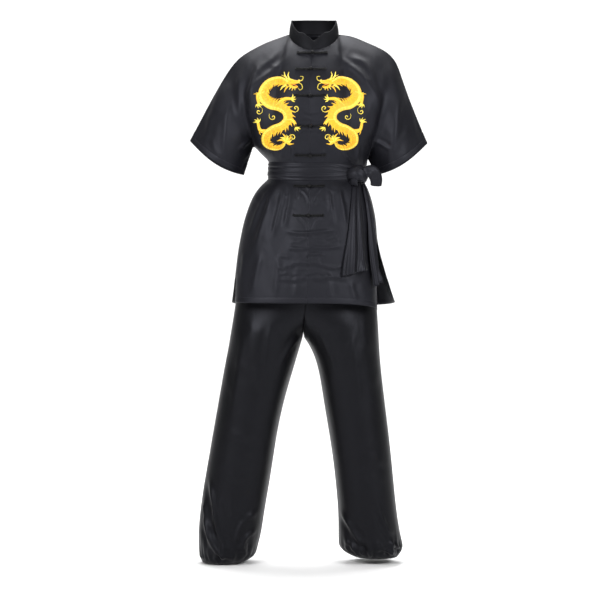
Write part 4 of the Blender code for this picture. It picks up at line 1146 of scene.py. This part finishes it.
# Embroidery: a traditional dragon on each front, drawn in millimetres from the motif's inner lower corner
Path = namedtuple("Path", "line widths tone lift")
DRAGON_SPINE = (
    (30, 194), (52, 206), (78, 200), (96, 180), (98, 156), (80, 138), (54, 130), (34, 116), (30, 94),
    (46, 76), (70, 68), (90, 54), (92, 34), (76, 20), (56, 16), (42, 22), (36, 34),
)
DRAGON_WIDTHS = (14, 18, 21, 23, 24, 25, 25, 25, 24, 23, 22, 20, 17, 13, 9, 6, 3.5)
GOLD, PALE, AMBER = 0, 1, 2
MOTIF_TOP = -0.113
MOTIF_HEIGHT = 227
HEAD_AT, HEAD_TURN = (30, 194), 190
HEAD = (
    Path(((-8, 2), (4, 5), (16, 4)), (10, 19, 10), GOLD, 1.2),
    Path(((8, 6), (18, 6), (27, 8), (32, 12)), (13, 11, 9, 4), GOLD, 1.4),
    Path(((28, 11), (32, 12)), (7, 5), PALE, 1.8),
    Path(((5, -5), (16, -9), (25, -8), (29, -5)), (8, 7, 5, 2), GOLD, 1.2),
    Path(((10, -1), (20, -2), (29, -5)), (3, 3, 1), AMBER, 1.5),
    Path(((-2, 10), (-11, 20), (-15, 31)), (5, 4, 1), PALE, 1.5),
    Path(((-9, 17), (-20, 21)), (3, 1), PALE, 1.5),
    Path(((3, 11), (-3, 22), (-2, 32)), (5, 3.5, 1), PALE, 1.5),
    Path(((-5, 8), (-16, 12)), (6, 1), GOLD, 1.4),
    Path(((1, 9), (12, 12)), (4.5, 2), PALE, 1.8),
    Path(((6, 6), (9, 6.4)), (4, 3), AMBER, 2.0),
    Path(((-6, 2), (-18, 6), (-28, 2)), (8, 6, 1), PALE, 1.1),
    Path(((-6, -2), (-17, -4), (-26, -12)), (8, 6, 1), GOLD, 1.2),
    Path(((-3, -5), (-12, -12), (-17, -22)), (7, 5, 1), PALE, 1.1),
    Path(((2, -8), (-3, -17), (-5, -27)), (6, 4, 1), GOLD, 1.2),
    Path(((10, -9), (7, -18)), (4, 1), PALE, 1.0),
    Path(((16, -11), (15, -20)), (4, 1), GOLD, 1.0),
    Path(((22, -10), (23, -17)), (3, 1), PALE, 1.0),
    Path(((29, 10), (38, 15), (38, 24), (30, 24)), (2.2, 2, 1.6, 1), PALE, 1.0),
    Path(((28, 6), (38, 2), (42, -8), (36, -14), (31, -9)), (2.2, 2, 1.8, 1.4, 1), PALE, 1.0),
)
Leg = namedtuple("Leg", "line widths claws")
DRAGON_LEGS = (
    Leg(((92, 172), (111, 163), (110, 140)), (15, 11, 7), -95),
    Leg(((62, 132), (40, 149), (20, 150)), (14, 10, 7), 178),
    Leg(((38, 92), (17, 90), (6, 74)), (14, 10, 7), 240),
    Leg(((84, 62), (106, 68), (112, 88)), (13, 9, 7), 75),
)
Curl = namedtuple("Curl", "x y radius start turns")
CLOUD_CURLS = (
    Curl(8, 124, 8, 250, 1.25), Curl(16, 44, 8, 60, -1.25), Curl(110, 118, 7, 200, -1.2), Curl(70, 102, 7, 330, 1.2),
)


def widths_at(widths, count):
    return np.interp(np.linspace(0, 1, count), np.linspace(0, 1, len(widths)), widths)


def flames(at, turn, spread, count, size):
    """A fan of curved tongues from one point."""
    paths = []
    for n in range(count):
        angle = math.radians(turn + spread * (n / max(count - 1, 1) - 0.5))
        reach = size * (1.0 if n % 2 == 0 else 0.78)
        run = np.array([math.cos(angle), math.sin(angle)])
        bend = np.array([-run[1], run[0]]) * size * 0.16
        line = (np.array(at), np.array(at) + run * reach * 0.5 + bend, np.array(at) + run * reach)
        paths.append(Path(line, (size * 0.22, size * 0.24, 0.8), PALE if n % 2 else GOLD, 0.9))
    return paths


def dragon_paths():
    """Every band of stitching in one dragon."""
    spine = smooth_line(DRAGON_SPINE, 8)
    widths = widths_at(DRAGON_WIDTHS, len(spine))
    runs = np.gradient(spine, axis=0)
    runs /= np.linalg.norm(runs, axis=1)[:, None]
    left = np.stack([-runs[:, 1], runs[:, 0]], axis=1)
    lengths = np.concatenate(([0.0], np.cumsum(np.linalg.norm(np.diff(spine, axis=0), axis=1))))
    paths = []
    for curl in CLOUD_CURLS:
        line = []
        for k in range(21):
            t = k / 20
            angle = math.radians(curl.start) + 2 * math.pi * curl.turns * t
            reach = curl.radius * (0.25 + 0.6 * t + 1.1 * t**4)
            line.append((curl.x + reach * math.cos(angle), curl.y + reach * math.sin(angle)))
        paths.append(Path(line, (1.8, 2.4, 2.2, 0.8), PALE, 0.7))
    for leg in DRAGON_LEGS:
        paths.append(Path(leg.line, leg.widths, GOLD, 1.0))
        paths.append(Path([np.array(p) + (1.2, 1.2) for p in leg.line], [w * 0.3 for w in leg.widths], PALE, 1.3))
        paths += flames(leg.line[1], leg.claws + 150, 80, 3, 13)
        end = np.array(leg.line[-1])
        for n in range(4):
            angle = math.radians(leg.claws + 38 * (n - 1.5))
            run = np.array([math.cos(angle), math.sin(angle)])
            hook = np.array([run[1], -run[0]]) * 3
            paths.append(Path((end, end + run * 8, end + run * 13 + hook), (4.5, 3.6, 0.8), PALE, 1.1))
    step = 8.0
    for s in np.arange(10.0, lengths[-1] - 6, step):
        k = int(np.searchsorted(lengths, s))
        root = spine[k] - left[k] * widths[k] * 0.42
        tip = root - left[k] * (3.0 + widths[k] * 0.3) + runs[k] * 5
        paths.append(Path((root - runs[k] * 2, tip), (5.5, 0.8), GOLD, 0.8))
    paths.append(Path(spine, widths, GOLD, 1.2))
    belly = spine + left * (widths * 0.27)[:, None]
    paths.append(Path(belly, widths * 0.42, PALE, 1.5))
    for s in np.arange(8.0, lengths[-1] - 14, 5.0):
        k = int(np.searchsorted(lengths, s))
        a = spine[k] + left[k] * widths[k] * 0.07
        b = spine[k] + left[k] * widths[k] * 0.46 + runs[k] * 1.5
        paths.append(Path((a, b), (1.1, 1.1), AMBER, 1.7))
    for row, s in enumerate(np.arange(6.0, lengths[-1] - 14, 4.2)):
        k = int(np.searchsorted(lengths, s))
        slots = (-0.36, -0.18, 0.0) if row % 2 == 0 else (-0.27, -0.09)
        for slot in slots:
            middle = spine[k] + left[k] * widths[k] * slot
            wide = widths[k] * 0.085
            line = (middle - left[k] * wide, middle + runs[k] * 2.2, middle + left[k] * wide)
            paths.append(Path(line, (0.5, 0.8, 0.5), AMBER, 1.6))
    paths += flames(spine[-1], 100, 190, 7, 24)
    turn = math.radians(HEAD_TURN)
    across = np.array([math.cos(turn), math.sin(turn)])
    up = np.array([across[1], -across[0]])
    for part in HEAD:
        line = [np.array(HEAD_AT) + across * a + up * b for a, b in part.line]
        paths.append(Path(line, part.widths, part.tone, part.lift))
    return paths


class UNIFORM_OT_embroidery(bpy.types.Operator):
    """A mirrored pair of gold dragons in raised satin stitch on the chest"""

    bl_idname = "uniform.embroidery"
    bl_label = "Embroidery"

    def execute(self, context):
        trim = context.scene.uniform_trim
        threads = [
            satin_stitch("Gold rayon thread", trim.gold),
            satin_stitch("Pale gold rayon thread", trim.pale),
            satin_stitch("Amber rayon thread", trim.amber),
        ]
        fronts = Cloth(*(bpy.data.objects["satin_jacket_front_" + word] for _, word in SIDES))
        low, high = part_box("frog_3_knot")
        x_mid = (low.x + high.x) / 2
        paths = dragon_paths()
        for side, word in SIDES:
            tool = bmesh.new()
            for path in paths:
                self.stitched(tool, fronts, path, side, x_mid, trim)
            turned = [f for f in tool.faces if f.normal.y > 0]
            bmesh.ops.reverse_faces(tool, faces=turned)
            obj = object_from(tool, "embroidery_" + word)
            for thread in threads:
                obj.data.materials.append(thread)
            obj.data.shade_smooth()
            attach(obj, "root")
        return {"FINISHED"}

    def stitched(self, tool, fronts, path, side, x_mid, trim):
        """One domed band of thread, laid over the cloth under it."""
        line = smooth_line(path.line, 6) if len(path.line) < 10 else np.array(path.line)
        count = len(line)
        widths = widths_at(path.widths, count)
        runs = np.gradient(line, axis=0)
        runs /= np.maximum(np.linalg.norm(runs, axis=1), 1e-9)[:, None]
        lefts = np.stack([-runs[:, 1], runs[:, 0]], axis=1)
        lengths = np.concatenate(([0.0], np.cumsum(np.linalg.norm(np.diff(line, axis=0), axis=1))))
        across = 6 if widths.max() > 8 else 4
        bottom = MOTIF_TOP - MOTIF_HEIGHT * MM

        def place(u, v):
            n = round(u * (count - 1))
            t = 2 * v - 1
            spot = line[n] + lefts[n] * t * widths[n] / 2
            lift = trim.embroidery * path.lift * (0.35 + 0.65 * math.sqrt(max(0.0, 1 - t * t)))
            x = x_mid + side * (trim.motif_gap + spot[0] * MM)
            z = bottom + spot[1] * MM
            laid = fronts.lay(x, z, lift if abs(t) < 0.999 else 0.0001)
            if laid is None:
                raise RuntimeError(f"a stitch at {x:.3f}, {z:.3f} misses the cloth")
            return laid, (lengths[n] * MM, t * widths[n] / 2 * MM)

        grid_band(tool, count - 1, across, place, path.tone)


class UNIFORM_OT_stitching(bpy.types.Operator):
    """Rows of machine stitches along the skirt's hem and both sleeve mouths, front and back"""

    bl_idname = "uniform.stitching"
    bl_label = "Stitching"

    def execute(self, context):
        trim = context.scene.uniform_trim
        thread = braided_cord("Black polyester sewing thread", trim.thread_colour)
        fronts = [bpy.data.objects["satin_jacket_front_" + word] for _, word in SIDES]
        back = bpy.data.objects["satin_jacket_back"]
        tool = bmesh.new()
        for objects, face in ((fronts, FRONT), ([back], BACK)):
            cloth = Cloth(*objects)
            for obj in objects:
                hems = np.array([tuple(p) for p in hem_places(free_edge(obj))])
                skirt = hems[hems[:, 2] < HEM_BELOW * MM]
                self.row(tool, cloth, face, skirt, np.array([1.0, 0.0]), np.array([0.0, 1.0]), trim)
                for side, _ in SIDES:
                    start, end = (np.array(p) for p in SLEEVE_MOUTHS[side])
                    along = (end - start) / np.linalg.norm(end - start)
                    inward = np.array([-along[1], along[0]])
                    inward *= np.sign(inward[1])
                    near = hems[(mouth_distance(hems, side) < 0.02) & (hems[:, 2] > HEM_BELOW * MM)]
                    self.row(tool, cloth, face, near, along, inward, trim)
        finish_piece(object_from(welded(tool), "hem_stitches"), thread, "frog_cord")
        return {"FINISHED"}

    def row(self, tool, cloth, face, places, along, inward, trim):
        """Stitches at the hem's depth from an edge, pressed half into the cloth."""
        if len(places) < 4:
            return
        flat = places[:, (0, 2)]
        run, rise = flat @ along, flat @ inward
        order = np.argsort(run)
        run, rise = run[order], rise[order]
        depth = bpy.context.scene.uniform_cloth.hem_depth
        half = trim.stitch / 2
        for middle in np.arange(run[0] + 0.012, run[-1] - 0.012, trim.stitch * 1.35):
            ends = []
            for at in (middle - half, middle + half):
                x, z = along * at + inward * (float(np.interp(at, run, rise)) + depth)
                ends.append(cloth.lay(x, z, 0.0001, face))
            if None in ends or (ends[1] - ends[0]).length > 2 * trim.stitch:
                continue
            tube(tool, (ends[0], (ends[0] + ends[1]) / 2, ends[1]), 0.00035, 5)


class UNIFORM_OT_cuts(bpy.types.Operator):
    """A step that adds nothing to the scene"""

    bl_idname = "uniform.cuts"
    bl_label = "Cuts"

    def execute(self, context):
        return {"FINISHED"}


class UNIFORM_OT_walls(bpy.types.Operator):
    """The jacket panels' thickness, given once all trim is laid on them"""

    bl_idname = "uniform.walls"
    bl_label = "Jacket walls"

    def execute(self, context):
        cloth = context.scene.uniform_cloth
        for name in ("jacket_front_right", "jacket_front_left"):
            with_wall(bpy.data.objects["satin_" + name], cloth.wall, True)
        with_wall(bpy.data.objects["satin_jacket_back"], cloth.wall)
        return {"FINISHED"}


class UNIFORM_OT_stage(bpy.types.Operator):
    """A pale floor that curves up into a backdrop, soft lights and the camera"""

    bl_idname = "uniform.stage"
    bl_label = "Stage"

    def execute(self, context):
        stage = context.scene.uniform_stage
        self.backdrop(stage)
        world = bpy.data.worlds.new("Even studio light")
        world.use_nodes = True
        world.node_tree.nodes["Background"].inputs["Color"].default_value = (1.0, 1.0, 1.0, 1.0)
        world.node_tree.nodes["Background"].inputs["Strength"].default_value = stage.sky
        context.scene.world = world
        context.scene.view_settings.view_transform = "Standard"
        body = Vector((0.0, 0.0, -0.6))
        self.lamp("Key", (-2.0, -3.2, 0.9), 1.6, stage.key, body)
        self.lamp("Fill", (2.2, -2.9, 0.7), 1.6, stage.fill, body)
        self.lamp("Top", (0.0, -0.4, 2.4), 2.0, stage.top, body)
        self.lamp("Backdrop", (0.0, 1.4, 3.2), 3.5, stage.wall, Vector((0.0, 5.5, -1.2)))
        self.camera(stage)
        return {"FINISHED"}

    def backdrop(self, stage):
        made, tree, shader = new_material("Matt studio paper")
        place = add(tree, "ShaderNodeTexCoord")
        grain = add(tree, "ShaderNodeTexNoise", None, {"Scale": 6.0, "Detail": 2.0}, {"Vector": (place, "Object")})
        deep = tuple(c * 0.97 for c in stage.floor[:3]) + (1.0,)
        mix = add(tree, "ShaderNodeMix", {"data_type": "RGBA"}, {6: deep, 7: tuple(stage.floor)}, {0: (grain, 0)})
        tree.links.new(mix.outputs[2], shader.inputs["Base Color"])
        shader.inputs["Roughness"].default_value = 0.9
        floor, back, bend = CAD_LOW.z, 8.0, 3.0
        tool = bmesh.new()
        profile = [(-9.0, floor), (back - bend, floor)]
        for k in range(1, 13):
            angle = math.pi / 2 * k / 12
            profile.append((back - bend + bend * math.sin(angle), floor + bend * (1 - math.cos(angle))))
        profile.append((back, 6.0))

        def spot(u, v):
            y, z = profile[round(u * (len(profile) - 1))]
            return Vector((-12.0 + 24.0 * v, y, z)), (u, v)

        grid_band(tool, len(profile) - 1, 1, spot)
        bmesh.ops.recalc_face_normals(tool, faces=tool.faces)
        obj = object_from(tool, "studio_backdrop")
        obj.data.materials.append(made)
        obj.data.shade_smooth()

    def lamp(self, name, place, size, power, target):
        light = bpy.data.lights.new(name, "AREA")
        light.shape = "DISK"
        light.size = size
        light.energy = power
        obj = bpy.data.objects.new(name, light)
        obj.location = place
        aim = target - Vector(place)
        obj.rotation_euler = aim.to_track_quat("-Z", "Y").to_euler()
        obj.visible_camera = False
        bpy.context.scene.collection.objects.link(obj)

    def camera(self, stage):
        lens = bpy.data.cameras.new("Camera")
        lens.sensor_width = 36.0
        lens.lens = lens.sensor_width * stage.distance / VIEW_WIDTH
        obj = bpy.data.objects.new("Camera", lens)
        obj.location = (VIEW_MIDDLE[0], -stage.distance, VIEW_MIDDLE[1])
        obj.rotation_euler = (math.pi / 2, 0.0, 0.0)
        bpy.context.scene.collection.objects.link(obj)
        bpy.context.scene.camera = obj


# The flat cut of each cloth piece: width and length, and its area where it isn't a rectangle
Cut = namedtuple("Cut", "piece flat area held rests_on")

# The photograph's frame in the origin's plane
VIEW_WIDTH = 1.68
VIEW_MIDDLE = (-0.0392, -0.739)


class UNIFORM_PT_panel(bpy.types.Panel):
    """Lists the uniform's pieces in the sidebar."""

    bl_idname = "UNIFORM_PT_panel"
    bl_label = "Tai chi uniform"
    bl_space_type = "VIEW_3D"
    bl_region_type = "UI"
    bl_category = "Uniform"

    def draw(self, context):
        for step in STEPS:
            self.layout.operator(step.bl_idname)
        for name in GROUPS:
            group = getattr(context.scene, name)
            for key in group.bl_rna.properties.keys():
                if key not in ("rna_type", "name"):
                    self.layout.prop(group, key)


STEPS = (
    UNIFORM_OT_stage,
    UNIFORM_OT_jacket,
    UNIFORM_OT_collar,
    UNIFORM_OT_trousers,
    UNIFORM_OT_sash,
    UNIFORM_OT_frogs,
    UNIFORM_OT_embroidery,
    UNIFORM_OT_stitching,
    UNIFORM_OT_walls,
    UNIFORM_OT_cuts,
)
GROUPS = {"uniform_cloth": UniformCloth, "uniform_trim": UniformTrim, "uniform_stage": UniformStage}


def register():
    for group in GROUPS.values():
        bpy.utils.register_class(group)
    for step in STEPS:
        bpy.utils.register_class(step)
    bpy.utils.register_class(UNIFORM_PT_panel)
    for name, group in GROUPS.items():
        setattr(bpy.types.Scene, name, bpy.props.PointerProperty(type=group))


def unregister():
    for name in GROUPS:
        delattr(bpy.types.Scene, name)
    for made in (UNIFORM_PT_panel, *STEPS, *GROUPS.values()):
        bpy.utils.unregister_class(made)


def main():
    register()
    for step in STEPS:
        group, name = step.bl_idname.split(".")
        getattr(getattr(bpy.ops, group), name)()


if __name__ == "__main__":
    main()
